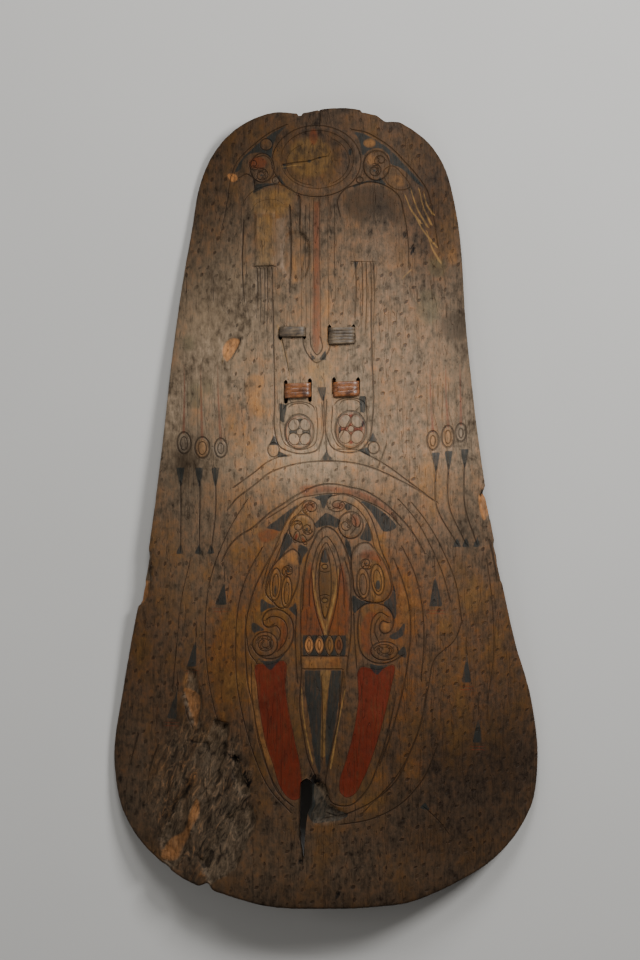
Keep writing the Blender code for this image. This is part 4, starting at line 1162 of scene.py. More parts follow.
# Wear of the edges: places on the sheet, and how many millimetres are gone there.
HEAD_WEAR = ((290, 0.0), (297.3, 0.2), (298.5, 2.6), (301.5, 2.6), (303.2, 0.2), (318.2, 0.0),
             (319.2, 1.6), (320.2, 0.0), (360.2, 0.0), (361.2, 2.2), (376, 1.8), (383, 5.2),
             (386, 5.4), (393, 2.4), (399, 0.0))
FOOT_WEAR = ((199, 0.0), (201.5, 1.4), (206.5, 5.6), (209, 5.0), (213, 1.0), (216, 0.0))
LEFT_WEAR = ((548, 0.0), (552, 0.9), (580, 0.7), (584, 1.8), (602, 2.2), (606, 0.2), (612, 0.0))
RIGHT_WEAR = ((486, 0.0), (488, 1.6), (494, 1.8), (497, 0.4), (520, 0.3), (540, 0.2), (544, 1.5),
              (556, 0.9), (566, 1.6), (580, 1.2), (584, 0.0))
WEAR_REACH = 0.030
RAGGED = 0.00045


def wear_edges(plan, across, along):
    """The plan with its edges worn in, by an amount that fades to nothing over WEAR_REACH."""
    x, y = plan[..., 0].copy(), plan[..., 1].copy()
    sheet_x = SHEET_ORIGIN[0] + x * MM
    sheet_y = SHEET_ORIGIN[1] - y * MM
    to_head = np.clip(1 - (1 - along[:, None]) * HEIGHT / WEAR_REACH, 0, 1)
    to_foot = np.clip(1 - along[:, None] * HEIGHT / WEAR_REACH, 0, 1)
    width = plan[:, -1:, 0] - plan[:, :1, 0]
    to_left = np.clip(1 - across[None] * width / WEAR_REACH, 0, 1)
    to_right = np.clip(1 - (1 - across[None]) * width / WEAR_REACH, 0, 1)
    rough = (noise(sheet_x, sheet_y, 7.0, 5) - 0.5) + 0.6 * (noise(sheet_x, sheet_y, 2.7, 6) - 0.5)
    rough = np.abs(rough) * RAGGED
    y -= to_head * (np.interp(sheet_x, *np.array(HEAD_WEAR).T) / MM + rough)
    y += to_foot * (np.interp(sheet_x, *np.array(FOOT_WEAR).T) / MM + rough)
    x += to_left * (np.interp(sheet_y, *np.array(LEFT_WEAR).T) / MM + rough)
    x -= to_right * (np.interp(sheet_y, *np.array(RIGHT_WEAR).T) / MM + rough)
    return np.stack((x, y), axis=-1)


# An opening through the board: where it is, and its half width at places down the sheet.
Opening = namedtuple("Opening", "down middle half reach")


def openings():
    """The split at the foot, and the two slots of each lashing."""
    found = [Opening((777, 780.5, 790, 804, 812, 826, 838, 858), (306.5, 306.5, 306.0, 305.6, 303.4, 302.6,
                                                                302.6, 303.4),
                     (0.0, 5.6, 6.0, 6.2, 4.2, 3.2, 2.2, 0.0), 22.0)]
    for lashing in LASHINGS.values():
        x = HANDLE_ACROSS + lashing.side * LOOP_SPACING / 2 + lashing.shift_across
        y = HANDLE_UP + lashing.end * LASHING_SPACING / 2 + lashing.shift_along
        length = (lashing.width / 2 + SLOT_END_CLEARANCE) * MM
        for side in (-1, 1):
            middle = SHEET_ORIGIN[0] + (x + side * LASHING_SPAN / 2) * MM
            down = SHEET_ORIGIN[1] - y * MM
            half = SLOT_WIDTH / 2 * MM
            found.append(Opening((down - length, down - length + 1.2, down + length - 1.2, down + length),
                                 (middle,) * 4, (0.0, half, half, 0.0), 9.0))
    return found


def cut_openings(plan):
    """The plan twice, as the cells to the left and to the right of each point see it.

    The column nearest to an opening is moved onto it and parted, and its neighbours give way, by
    less the further off they are. The two copies differ only along an opening.
    """
    left, right = plan.copy(), plan.copy()
    rings = []
    rows, number = np.arange(ROWS + 1), np.arange(COLUMNS + 1)
    down = SHEET_ORIGIN[1] - plan[:, COLUMNS // 2, 1] * MM
    for hole in openings():
        column = np.abs(SHEET_ORIGIN[0] + plan[:, :, 0] * MM - hole.middle[0])
        middle_row = np.abs(down - (hole.down[0] + hole.down[-1]) / 2).argmin()
        at = int(round(column[middle_row].argmin() / RATIO)) * RATIO
        first, last = (int(np.round(np.interp(-hole.down[end], -down, rows) / RATIO)) * RATIO
                       for end in (-1, 0))
        last = max(last, first + RATIO)
        share = np.clip((rows - first) / (last - first), 0, 1)
        place = hole.down[-1] + (hole.down[0] - hole.down[-1]) * share
        half = np.interp(place, hole.down, hole.half) / MM
        half[(rows <= first) | (rows >= last)] = 0.0
        middle = (np.interp(place, hole.down, hole.middle) - SHEET_ORIGIN[0]) / MM
        fade_down = np.interp(rows, (first - PARTING_ROWS, first, last, last + PARTING_ROWS), (0, 1, 1, 0))
        offset = (plan[:, :, 0] - plan[:, at:at + 1, 0]) * MM
        fade = np.clip(1 - np.abs(offset) / hole.reach, 0, 1)
        shift = (middle - plan[:, at, 0]) * fade_down
        for copy, own in ((left, -1), (right, 1)):
            away = np.where(number == at, own, np.sign(number - at))
            copy[:, :, 0] += fade * (shift[:, None] + away * half[:, None])
        rings.append((at, first, last))
    return left, right, rings


def stitch(fine, coarse):
    """Triangles between a closed loop and one with a third of its points, matched in order."""
    k = np.arange(len(coarse))
    faces = []
    for step in range(RATIO):
        here, beyond = (fine[(RATIO * k + ahead) % len(fine)] for ahead in (step, step + 1))
        faces.append(np.stack((here, beyond, coarse[k]), axis=1))
    last = fine[(RATIO * (k + 1)) % len(fine)]
    faces.append(np.stack((last, coarse[(k + 1) % len(coarse)], coarse[k]), axis=1))
    return np.vstack(faces)


def border(grid):
    """The numbers round the border of a grid of them, anticlockwise from the lower left."""
    return np.concatenate((grid[0, :-1], grid[:-1, -1], grid[-1, :0:-1], grid[:0:-1, 0]))


def grid_mesh(left, right, rings, step):
    """Numbers and faces of a grid of points parted along the openings.

    Point numbers count the grid, then the second copies along each opening. It gives the numbers
    as cells on the left and on the right see them, the quads, and the openings' closed loops.
    """
    rows, columns = left.shape[:2]
    number = np.arange(rows * columns).reshape(rows, columns)
    seen_right = number.copy()
    extra = []
    loops = []
    for at, first, last in rings:
        at, first, last = at // step, first // step, last // step
        inner = np.arange(first + 1, last)
        fresh = rows * columns + sum(len(part) for part in extra) + np.arange(len(inner))
        seen_right[inner, at] = fresh
        extra.append(right[inner, at])
        loops.append(np.concatenate((number[last:first:-1, at], seen_right[first:last, at])))
    points = np.vstack((left.reshape(-1, left.shape[-1]), *extra))
    quads = np.stack((seen_right[:-1, :-1], number[:-1, 1:], number[1:, 1:], seen_right[1:, :-1]), axis=-1)
    return points, quads.reshape(-1, 4), number, loops


def make_mesh(name, points, faces, attributes, material):
    """A shaded piece from arrays of points and faces, with its named attributes."""
    mesh = bpy.data.meshes.new(name)
    mesh.from_pydata(points, [], [tuple(face) for part in faces for face in part.tolist()])
    for key, values in attributes.items():
        kind, field = ("FLOAT", "value") if values.shape[1] == 1 else ("FLOAT_VECTOR", "vector")
        layer = mesh.attributes.new(key, kind, "POINT")
        layer.data.foreach_set(field, values.astype(np.float32).ravel())
    mesh.materials.append(material)
    mesh.shade_smooth()
    mesh.validate()
    piece = bpy.data.objects.new(name, mesh)
    bpy.context.scene.collection.objects.link(piece)
    return piece


def spread(values, filler, total, loop, rounds):
    """The front's values for all points: the rim has those of the front's border, the rest filler."""
    whole = np.tile(np.array(filler, np.float32), (total, 1))
    whole[:len(values)] = values
    rim = len(values) + len(loop) * rounds
    whole[len(values):rim] = np.tile(values[loop], (rounds, 1))
    return whole


def front_values(spots, settings):
    """The front's height in millimetres, its paints, its ink layers, and how much is gone or rough."""
    d = drawing()
    paints = paint_fields(d, spots)
    layers, groove = ink_layers(d, spots)
    gone = split_off(spots)
    across, down = spots[:, 0], spots[:, 1]
    lean = across + ROT_LEAN * down
    furrow = noise(lean, down / 6, 2.6, 11)
    slab = noise(lean, down / 3, 10.0, 12)
    rough = rotten_corner(spots) * ((1 - furrow) * FURROW_DEPTH + np.round(slab * 5) / 5 * SLAB_DEPTH)
    tooling = (noise(across, down / 2.5, 9.0, 13) - 0.5) * TOOLING_DEPTH
    pits = PIT_DEPTH * ease(-paints["rot"], -0.4, 1.6)
    sunk = gone + rough + groove * settings.groove * MM + pits
    height = carved_steps(d, spots) * settings.carving + tooling - sunk
    return height, paints, layers, gone, rough


def rounded_rim(start, under, up, out, rounding):
    """Rounds of points from the front's border to the back's, by two quarters of a circle."""
    quarter = np.radians(np.linspace(0, 90, ROUNDING_STEPS + 1))
    over = [start + rounding * (out * math.sin(angle) - up * (1 - math.cos(angle)))
            for angle in quarter[1:]]
    below = [under + up * rounding + rounding * (out * math.cos(angle) - up * math.sin(angle))
             for angle in quarter[:-1]]
    return over + below


def back_surface(left, right, rings):
    """The back's points, quads, numbers and opening loops, coarser than the front's and hand-adzed."""
    flat, quads, number, loops = grid_mesh(left[::RATIO, ::RATIO], right[::RATIO, ::RATIO], rings, RATIO)
    x, y = flat[:, 0], flat[:, 1]
    gap = np.min(np.linalg.norm(flat[:, None] - RING[None], axis=2), axis=1)
    thick = RIM_THICKNESS + (BOARD_THICKNESS - RIM_THICKNESS) * np.clip(gap / THINNING_BAND, 0, 1)
    adzed = (noise(x * MM, y * MM / 2, 16.0, 21) - 0.5) * ADZING_DEPTH / MM
    adzed *= np.clip(gap / SMOOTH_BORDER, 0, 1)
    base = np.column_stack((flat, front_z(x, y)))
    return base - front_normals(x, y) * (thick + adzed)[:, None], quads, number, loops


def board_surfaces(settings):
    """Points, faces and attributes of the board: front, rounded rim, back and opening walls."""
    across, along = graded(COLUMNS, COLUMN_SIZES), graded(ROWS, ROW_SIZES)
    inner = inset_ring(settings.rim_rounding)
    left, right, rings = cut_openings(wear_edges(plan_patch(inner, across, along), across, along))

    flat, quads, number, loops = grid_mesh(left, right, rings, 1)
    normals = front_normals(flat[:, 0], flat[:, 1])
    base = np.column_stack((flat, front_z(flat[:, 0], flat[:, 1])))
    spots = np.stack(on_sheet(base), axis=1)
    height, paints, layers, gone, rough = front_values(spots, settings)
    loop = border(number)
    height[loop] *= BORDER_RELIEF
    front = base + normals * (height / MM)[:, None]

    out = edge_loop(RING, across, along) - edge_loop(inner, across, along)
    out = np.column_stack((out, np.zeros(len(out))))
    up = normals[loop]
    out -= (out * up).sum(axis=1, keepdims=True) * up
    out /= np.linalg.norm(out, axis=1, keepdims=True)
    rim = rounded_rim(front[loop], base[loop] - up * RIM_THICKNESS, up, out, settings.rim_rounding)
    rim_faces = []
    before, count = loop, len(flat)
    ahead = np.roll(np.arange(len(loop)), -1)
    for _ in rim:
        after = count + np.arange(len(loop))
        rim_faces.append(np.stack((before, after, after[ahead], before[ahead]), axis=1))
        before = after
        count += len(loop)

    back, back_quads, back_number, back_loops = back_surface(left, right, rings)
    seam = stitch(before, border(back_number) + count)
    walls = [stitch(fine, coarse + count)[:, ::-1] for fine, coarse in zip(loops, back_loops)]
    points = np.vstack((front, *rim, back))
    points[:, 2] = np.maximum(points[:, 2], 0.0)
    faces = [quads, *rim_faces, back_quads[:, ::-1] + count, seam[:, ::-1], *walls]

    where = (len(points), loop, len(rim))
    attributes = {
        "paint_" + name: spread(distance[:, None], (FAR,), *where) for name, distance in paints.items()
    }
    attributes["weather"] = spread(np.stack(weathering_and_painted_light(spots), axis=1), BACK_WEATHER, *where)
    for layer, ink in enumerate(layers):
        attributes["ink_%d" % layer] = spread(ink, NO_INK, len(points), loop, 0)
    worn = np.clip(gone / 3.0 + rough / 4.0, 0, 1)
    parts = (np.ones(len(flat)), worn, rotten_corner(spots))
    damage = spread(np.stack(parts, axis=1), (0.0, 0.0, 0.0), *where)
    rounds = np.repeat(np.arange(len(rim)), len(loop))
    damage[len(flat):len(flat) + len(rounds), 0] = np.maximum(0.0, 1 - rounds / ROUNDING_STEPS)
    attributes["damage"] = damage
    return points, faces, attributes, len(layers)


# The handle and its lashings.


def leg_of_loop(x):
    """Where a loop's leg lies: its middle, the direction along it and the direction off the back."""
    half = LOOP_LENGTH / 2
    low = Vector((x, HANDLE_UP - half, back_z(x, HANDLE_UP - half)))
    high = Vector((x, HANDLE_UP + half, back_z(x, HANDLE_UP + half)))
    along = (high - low).normalized()
    off = Vector((0, along.z, -along.y))
    return (low + high) / 2 + off * (LOOP_CLEARANCE + LOOP_CANE / 2), along, off


def round_profile():
    """Angles at even steps round a circle, with their sines and cosines."""
    angle = np.radians(np.arange(0, 360, PROFILE_STEP))
    return angle, np.sin(angle), np.cos(angle)


def headings(ring):
    """Unit directions along a closed run of points, each from the point before to the one after."""
    ahead = np.roll(ring, -1, axis=0) - np.roll(ring, 1, axis=0)
    return ahead / np.linalg.norm(ahead, axis=1, keepdims=True)


def sweep(path, outward, sideways, profile, closed):
    """Points and quads of a profile carried along a path.

    Each point is the path's, plus the profile's first number along outward, plus its second along
    sideways. The profile may change along the path. An open sweep is closed by its end profiles.
    """
    points = (
        path[:, None] + profile[..., :1] * outward[:, None] + profile[..., 1:] * sideways[:, None]
    )
    rows, sides = points.shape[:2]
    number = np.arange(rows * sides).reshape(rows, sides)
    after = np.roll(number, -1, axis=0)
    if not closed:
        number, after = number[:-1], after[:-1]
    quads = np.stack((number, np.roll(number, -1, axis=1), np.roll(after, -1, axis=1), after), axis=-1)
    return points.reshape(-1, 3), quads.reshape(-1, 4)


def outward_faces(points, faces):
    """Quads turned over if the closed surface they make would hold a volume below zero."""
    a, b, c, e = (points[faces[:, k]] for k in range(4))
    volume = (np.cross(b - a, c - a) * a).sum() + (np.cross(c - a, e - a) * a).sum()
    return faces if volume > 0 else faces[:, ::-1]


def loop_surface(side, settings):
    """A cane loop: a circle carried round a long rounded rectangle, swollen at the cane's joints.

    The cane is a little thinner than its size between the joints, and a bell thickens it at each.
    """
    x = HANDLE_ACROSS + side * LOOP_SPACING / 2
    leg, along, off = (np.array(part) for part in leg_of_loop(x))
    low, high = LOOP_BEND_RADIUS, FINGER_GAP + LOOP_CANE - LOOP_BEND_RADIUS
    straight = LOOP_LENGTH / 2 - LOOP_CANE / 2 - LOOP_BEND_RADIUS
    bend = np.radians(np.linspace(0, 90, 13))
    corners_of_loop = []
    for run, rise, start in ((straight, low, -90), (straight, high, 0), (-straight, high, 90),
                             (-straight, low, 180)):
        angle = bend + math.radians(start)
        corners_of_loop.append(np.stack((run + LOOP_BEND_RADIUS * np.cos(angle),
                                         rise + LOOP_BEND_RADIUS * np.sin(angle)), axis=1))
    ring = np.vstack((*corners_of_loop, corners_of_loop[0][:1]))
    lengths = np.concatenate(([0.0], np.cumsum(np.linalg.norm(np.diff(ring, axis=0), axis=1))))
    gone = np.linspace(0, lengths[-1], LOOP_STEPS + 1)[:-1]
    centre = np.stack([np.interp(gone, lengths, ring[:, axis]) for axis in (0, 1)], axis=1)
    ahead = headings(centre)
    path = leg + centre[:, :1] * along + centre[:, 1:] * off
    outward = ahead[:, 1:] * along - ahead[:, :1] * off
    sideways = np.tile(np.array((1.0, 0.0, 0.0)), (len(path), 1))
    spacing = settings.joint_spacing
    phase = (gone + side * JOINT_SHIFT) % spacing
    bell = np.exp(-(((phase - spacing / 2) / JOINT_LENGTH) ** 2))
    radius = LOOP_CANE / 2 * (CANE_BETWEEN_JOINTS + JOINT_SWELLING * bell)
    angle, sines, cosines = round_profile()
    profile = np.stack((cosines, sines), axis=1)[None] * radius[:, None, None]
    points, quads = sweep(path, outward, sideways, profile, closed=True)
    joints = np.repeat(bell, len(angle))
    run = np.stack((np.repeat(gone, len(angle)), np.tile(angle, len(gone)), joints), axis=1)
    return points, outward_faces(points, quads), {"fibre": run}


def way_round(x, y, loop_x, leg_z, lift, turn_in):
    """The closed way of a strap across and up: over the front, through both slots, under the leg."""
    half = LASHING_SPAN / 2
    under = leg_z - LOOP_CANE / 2 - lift
    beside_leg = LOOP_CANE / 2 + lift * OFF_CANE_CORNER
    sides = []
    for side in (-1, 1):
        edge = x + side * half
        low, top = back_z(edge, y), front_z(edge, y)
        sides.append((
            (loop_x + side * beside_leg, under + LOOP_CANE / 2), (edge, low - lift),
            (edge, (top + low) / 2), (edge, top + lift * OFF_SLOT_RIM),
            (edge - side * turn_in, top + turn_in),
        ))
    left, right = sides
    over = (x, front_z(x, y) + lift + STRAP_BULGE)
    return smooth((*left[2:], over, *right[::-1], (loop_x, under), *left[:2]), 8, closed=True)


def lashing_surface(lashing, settings):
    """A strap wound round the board and a loop's leg, through both slots.

    The way round is a smooth closed curve. The strap climbs sideways by no more than its own width in
    each turn, and its ends taper off in the left slot.
    """
    loop_x = HANDLE_ACROSS + lashing.side * LOOP_SPACING / 2
    x = loop_x + lashing.shift_across
    y = HANDLE_UP + lashing.end * LASHING_SPACING / 2 + lashing.shift_along
    leg, along, _ = leg_of_loop(loop_x)
    leg_z = (leg + along * (y - leg.y) / along.y).z
    lift = STRAP_CLEARANCE + settings.strap_thickness / 2
    ring = way_round(x, y, loop_x, leg_z, lift, lift + settings.strap_thickness / 2)
    ring, ahead = (np.roll(part, STRAP_START, axis=0) for part in (ring, headings(ring)))
    turns = lashing.turns
    strap = lashing.width / turns
    steps = np.arange(turns * len(ring) + 1)
    share = steps / steps[-1]
    place = steps % len(ring)
    climb = (share - 0.5) * (lashing.width - strap)
    slack = STRAP_SLACK * np.sin(share * turns * math.tau + np.floor(share * turns) * 1.7)
    along = np.array(along)
    level = np.full(len(steps), y)
    outward = np.stack((-ahead[place, 1], np.zeros(len(steps)), ahead[place, 0]), axis=1)
    path = np.stack((ring[place, 0], level, ring[place, 1]), axis=1) + climb[:, None] * along
    path = path + outward * slack[:, None]
    angle, sines, cosines = round_profile()
    flat = np.stack((
        np.sign(sines) * np.abs(sines) ** 0.8 * settings.strap_thickness / 2,
        np.sign(cosines) * np.abs(cosines) ** 0.6 * strap / 2 * STRAP_FILL,
    ), axis=1)
    end = np.minimum(1.0, np.minimum(share, 1 - share) * len(steps) / 3)[:, None, None]
    profile = flat[None] * np.maximum(end, 0.02)
    points, quads = sweep(path, outward, np.tile(along, (len(steps), 1)), profile, closed=False)
    sides = len(angle)
    k = np.arange(sides // 2 - 1)
    cap = np.stack((k, k + 1, sides - 2 - k, sides - 1 - k), axis=1)
    faces = np.vstack((quads, cap[:, ::-1], cap + (len(steps) - 1) * sides))
    turned = np.repeat(share * turns, sides)
    run = np.stack((turned * 0.1, np.tile(flat[:, 1], len(steps)), turned), axis=1)
    return points, outward_faces(points, faces), {"fibre": run}


class Nodes:
    """A new material and its nodes."""

    def __init__(self, name):
        self.material = bpy.data.materials.new(name)
        self.material.use_nodes = True
        self.tree = self.material.node_tree

    def plug(self, node, sockets):
        """Give a node's sockets their values or links."""
        for socket, value in sockets.items():
            if isinstance(value, bpy.types.NodeSocket):
                self.tree.links.new(value, node.inputs[socket])
            else:
                node.inputs[socket].default_value = value

    def add(self, kind, *values, out=0, named=None, **settings):
        """One node with its settings and sockets; gives one of its outputs."""
        node = self.tree.nodes.new("ShaderNode" + kind)
        for name, value in settings.items():
            setattr(node, name, value)
        self.plug(node, {**dict(enumerate(values)), **(named or {})})
        return node.outputs[out]

    def math(self, operation, *values):
        """The result of one operation on numbers."""
        return self.add("Math", *values, operation=operation)

    def product(self, *values):
        """The product of numbers."""
        total = values[0]
        for value in values[1:]:
            total = self.math("MULTIPLY", total, value)
        return total

    def ramp(self, value, low, high, first, last, interpolation="LINEAR"):
        """A number that goes from first to last while value goes from low to high."""
        return self.add("MapRange", value, low, high, first, last, interpolation_type=interpolation)

    def swing(self, value, *textures):
        """A number plus each texture's difference from one half, times its amount."""
        for texture, amount in textures:
            value = self.math("MULTIPLY_ADD", self.math("ADD", texture, -0.5), amount, value)
        return value

    def parts(self, vector):
        """The three numbers of a vector."""
        return self.add("SeparateXYZ", vector).node.outputs

    def stored(self, name, out=1):
        """What the mesh holds under a name."""
        return self.add("Attribute", attribute_name=name, out=out)

    def scaled(self, vector, scales):
        """A vector times three numbers."""
        return self.add("VectorMath", vector, scales, operation="MULTIPLY")

    def noise(self, place, sizes, detail, roughness=0.6, distortion=0.0):
        """Noise whose grains have the given sizes across, along and deep."""
        return self.add("TexNoise", named={
            "Vector": self.scaled(place, [1 / size for size in sizes]), "Scale": 1.0,
            "Detail": detail, "Roughness": roughness, "Distortion": distortion,
        })

    def blend(self, factor, first, second):
        """A mix of two colours."""
        return self.add("Mix", named={0: factor, 6: first, 7: second}, data_type="RGBA", out=2)

    def bump(self, strength, distance, height):
        """The direction that a relief gives the surface."""
        return self.add("Bump", named={"Strength": strength, "Distance": distance, "Height": height})

    def finish(self, **sockets):
        """The material, with its shader's sockets set."""
        named = {name.replace("_", " "): value for name, value in sockets.items()}
        self.plug(self.tree.nodes["Principled BSDF"], named)
        return self.material


# Finishes.


def tick_marks(n, mm):
    """Small slanting leaf-shaped dabs in staggered rows, each turned and sized by chance.

    Inside a dab the distance across over its half width, plus the square of the distance along
    over its half length, is below 1.
    """
    across, down = n.parts(mm)[:2]
    rows = n.add("CombineXYZ", n.math("MULTIPLY_ADD", down, TICK_STAGGER, across), down, 0.0)
    cell = n.add("TexVoronoi", named={"Vector": rows, "Scale": 1 / TICK_SPACING, "Randomness": 0.5},
                 voronoi_dimensions="2D").node.outputs
    middle = n.scaled(cell["Position"], (1.0, 1.0, 0.0))
    across, down = n.parts(n.add("VectorMath", rows, middle, operation="SUBTRACT"))[:2]
    local = n.add("CombineXYZ", n.math("MULTIPLY_ADD", down, -TICK_STAGGER, across), down, 0.0)
    turn, growth, strength = n.parts(cell["Color"])[:3]
    angle = n.ramp(turn, 0.0, 1.0, *TICK_TURNS)
    across, down = n.parts(n.add("VectorRotate", named={"Vector": local, "Angle": angle},
                                 rotation_type="Z_AXIS"))[:2]
    wide = n.math("DIVIDE", n.math("ABSOLUTE", across), TICK_HALF_WIDTH)
    long = n.math("POWER", n.math("DIVIDE", down, TICK_HALF_LENGTH), 2.0)
    reach = n.math("DIVIDE", n.math("ADD", wide, long), n.ramp(growth, 0.0, 1.0, *TICK_SIZES))
    mark = n.ramp(reach, 0.6, 1.4, 1.0, 0.0, "SMOOTHSTEP")
    return n.product(mark, n.ramp(strength, 0.05, 0.5, *TICK_STRENGTHS))


def ink_marks(n, layer_count):
    """How much dark, red and pale line there is: half the line's width, less the distance to it."""
    dark, red, pale = 0.0, 0.0, 0.0
    for number in range(layer_count):
        distance, half, hue = n.parts(n.stored("ink_%d" % number))[:3]
        inside = n.math("SUBTRACT", half, n.math("ABSOLUTE", distance))
        mark = n.ramp(inside, -LINE_SOFTNESS, LINE_SOFTNESS, 0.0, 1.0)
        is_red, is_pale = (n.math("COMPARE", hue, wanted, 0.3) for wanted in (RED, PALE))
        plain = n.math("SUBTRACT", 1.0, n.math("ADD", is_red, is_pale))
        dark, red, pale = (n.math("MAXIMUM", total, n.product(mark, share))
                           for total, share in ((dark, plain), (red, is_red), (pale, is_pale)))
    return dark, red, pale


def colour(value, share=1.0):
    """A colour property times a share, as the four numbers of a colour socket."""
    return (*(share * part for part in value), 1.0)


def painted_hardwood(settings, layer_count):
    """Old hardwood, carved by hand, painted with red, ochre and soot, and worn by handling.

    The eye sees dull grain with small dark pores and fine splits, paint that has gone thin and
    patchy with soft edges, dark cuts where the lines are carved, a slight polish on what hands
    touched, and bright orange wood where layers have split off. The tone holds painted light and
    shade as well: the wood and each paint darken towards the foot and the sides, and the small holes
    and the cracks of the rotted corner hold painted shadow.
    """
    n = Nodes("aged_painted_hardwood_hand_carved")
    mm = n.scaled(n.add("TexCoord", out=3), (MM, MM, MM))
    grain = n.noise(mm, (2.0, 15.0, 9.0), 5.0, 0.62, 0.5)
    pores = n.noise(mm, (1.2, 3.0, 4.0), 2.0, 0.5)
    blotch = n.noise(mm, (6.0, 9.0, 9.0), 6.0, 0.66)
    stain = n.noise(mm, (30.0, 52.0, 40.0), 4.0, 0.6)
    splits = n.noise(mm, (7.0, 110.0, 12.0), 2.0, 0.5)
    base_tone, base_warmth, ticks = n.parts(n.stored("weather"))[:3]
    face, worn, rotten = n.parts(n.stored("damage"))[:3]
    distances = {name: n.stored("paint_" + name, out=2) for name in PAINTS}

    swing = n.swing(0.0, (grain, 0.9), (blotch, 2.4), (stain, 1.6))
    tone = n.math("MULTIPLY_ADD", swing, n.math("ADD", base_tone, 0.06), base_tone)
    warmth = n.swing(base_warmth, (blotch, 1.8), (stain, 1.6))
    earthy = n.product(n.ramp(stain, 0.44, 0.66, 0.0, 0.6), n.ramp(base_warmth, 0.15, 0.5, 0.25, 1.0))
    light = n.blend(warmth, colour(settings.pale_wood), colour(settings.warm_wood))
    light = n.blend(earthy, light, colour(settings.yellow_wash))
    # The tone blends from the darkest wood to the light wood, so low tone is partly smoke and handling and
    # partly painted shade.
    darkest_wood, rot = colour(settings.dark_wood), colour(settings.rot_and_hole_shadow)
    pore = n.ramp(pores, 0.60, 0.72, 0.0, 0.35, "SMOOTHSTEP")
    wood = n.blend(pore, n.blend(tone, darkest_wood, light), darkest_wood)

    thin = n.ramp(grain, 0.30, 0.55, 0.55, 1.0, "SMOOTHSTEP")
    for coat in COATS:
        rough_edge = n.swing(distances[coat.paint], (blotch, 1.3 * coat.soft))
        inside = n.ramp(rough_edge, -coat.soft / 2, coat.soft / 2, coat.cover, 0.0)
        left = n.ramp(blotch, 0.36, 0.58, 1 - coat.patchiness, 1.0)
        # Each paint goes from a darker to a lighter copy of itself with the tone, so it carries the tone's
        # painted light and shade too.
        deep, bright = (colour(getattr(settings, coat.setting), share) for share in (0.55, 1.3))
        wood = n.blend(n.product(inside, thin, left), wood, n.blend(tone, deep, bright))

    patchy = n.ramp(blotch, 0.36, 0.54, 0.5, 1.0)
    dark, red, pale = ink_marks(n, layer_count)
    dark = n.math("MAXIMUM", n.product(tick_marks(n, mm), patchy, ticks, face), dark)
    faint = n.ramp(blotch, 0.36, 0.58, 0.36, 1.0)
    for mark, code, cover in ((pale, settings.ochre_paint, 0.46), (red, settings.red_paint, 0.50),
                              (dark, settings.line_ink, 0.76)):
        wood = n.blend(n.product(mark, faint, cover), wood, colour(code))
    split = n.math("ABSOLUTE", n.math("ADD", splits, -0.5))
    split = n.product(n.ramp(split, 0.001, 0.006, 0.55, 0.0), patchy)
    wood = n.blend(split, wood, colour(settings.line_ink))

    lean = n.add("VectorRotate", named={"Vector": mm, "Angle": 0.34}, rotation_type="Z_AXIS")
    decay = n.noise(lean, (5.0, 14.0, 9.0), 7.0, 0.68, 1.2)
    kept = n.math("MINIMUM", distances["bare"], distances["black"])
    sound = n.ramp(kept, -2.0, 1.5, 0.45, 1.0)
    rotten = n.product(rotten, sound)
    raw = n.blend(n.ramp(decay, 0.36, 0.70, 0.03, 0.46), rot, colour(settings.pale_wood))
    # In the rotted corner: orange streaks of fresh wood and near-black gaps, then greyed raw wood where
    # layers are gone, then the near-black pits. The near-black is rotten wood with the painted shadow of
    # cracks and holes.
    for factor, tint in (
        (n.product(n.ramp(decay, 0.54, 0.66, 0.0, 0.32), rotten), colour(settings.bare_wood)),
        (n.product(n.ramp(decay, 0.38, 0.50, 0.80, 0.0), rotten), rot),
        (n.product(n.ramp(worn, 0.10, 0.7, 0.0, 0.7), sound), raw),
        (n.ramp(n.swing(distances["rot"], (decay, 26.0)), -1.6, 1.2, 0.95, 0.0), rot),
    ):
        wood = n.blend(factor, wood, tint)

    relief = n.math("MULTIPLY", dark, -0.5)
    for texture, amount in ((grain, 0.34), (pore, -0.30), (blotch, 0.35), (split, -0.5),
                            (n.product(decay, rotten), 2.5)):
        relief = n.math("MULTIPLY_ADD", texture, amount, relief)
    return n.finish(
        Base_Color=wood, Roughness=n.ramp(tone, 0.2, 0.9, 0.60, 0.42),
        Specular_IOR_Level=n.ramp(tone, 0.1, 0.8, 0.10, 0.34), IOR=WOOD_IOR,
        Normal=n.bump(0.9, 0.0012, relief),
    )


def cane(name, fresh, shade, roughness, joint_dark):
    """Cane, its skin split or whole: long fine fibres, a waxy shine, dark rings at its joints."""
    n = Nodes(name)
    fibre = n.stored("fibre")
    strands = n.noise(fibre, FIBRE_SIZES, 4.0)
    patches = n.noise(n.add("TexCoord", out=3), (CANE_PATCH,) * 3, 3.0)
    factor = n.ramp(n.product(strands, patches), 0.14, 0.38, 0.0, 1.0)
    base = n.blend(factor, colour(shade), colour(fresh))
    if joint_dark:
        base = n.blend(n.ramp(n.parts(fibre)[2], 0.55, 0.95, 0.0, 0.8), base, colour(shade))
    return n.finish(Base_Color=base, Roughness=roughness, IOR=WOOD_IOR,
                    Normal=n.bump(0.5, 0.0004, strands))


def floor_board(code):
    """Matt painted board, rolled on: an even pale grey with the faintest mottle."""
    n = Nodes("matt_painted_board_rolled")
    mottle = n.noise(n.add("TexCoord", out=3), (FLOOR_MOTTLE,) * 3, 3.0, 0.5)
    low, high = (colour(code, share) for share in (0.97, 1.03))
    return n.finish(Base_Color=n.blend(mottle, low, high), Roughness=0.85)


# Settings that a user would change.


def length_setting(name, description, default):
    """A length in metres."""
    return FloatProperty(name=name, description=description, default=default, min=0.0, unit="LENGTH",
                         subtype="DISTANCE", precision=5)


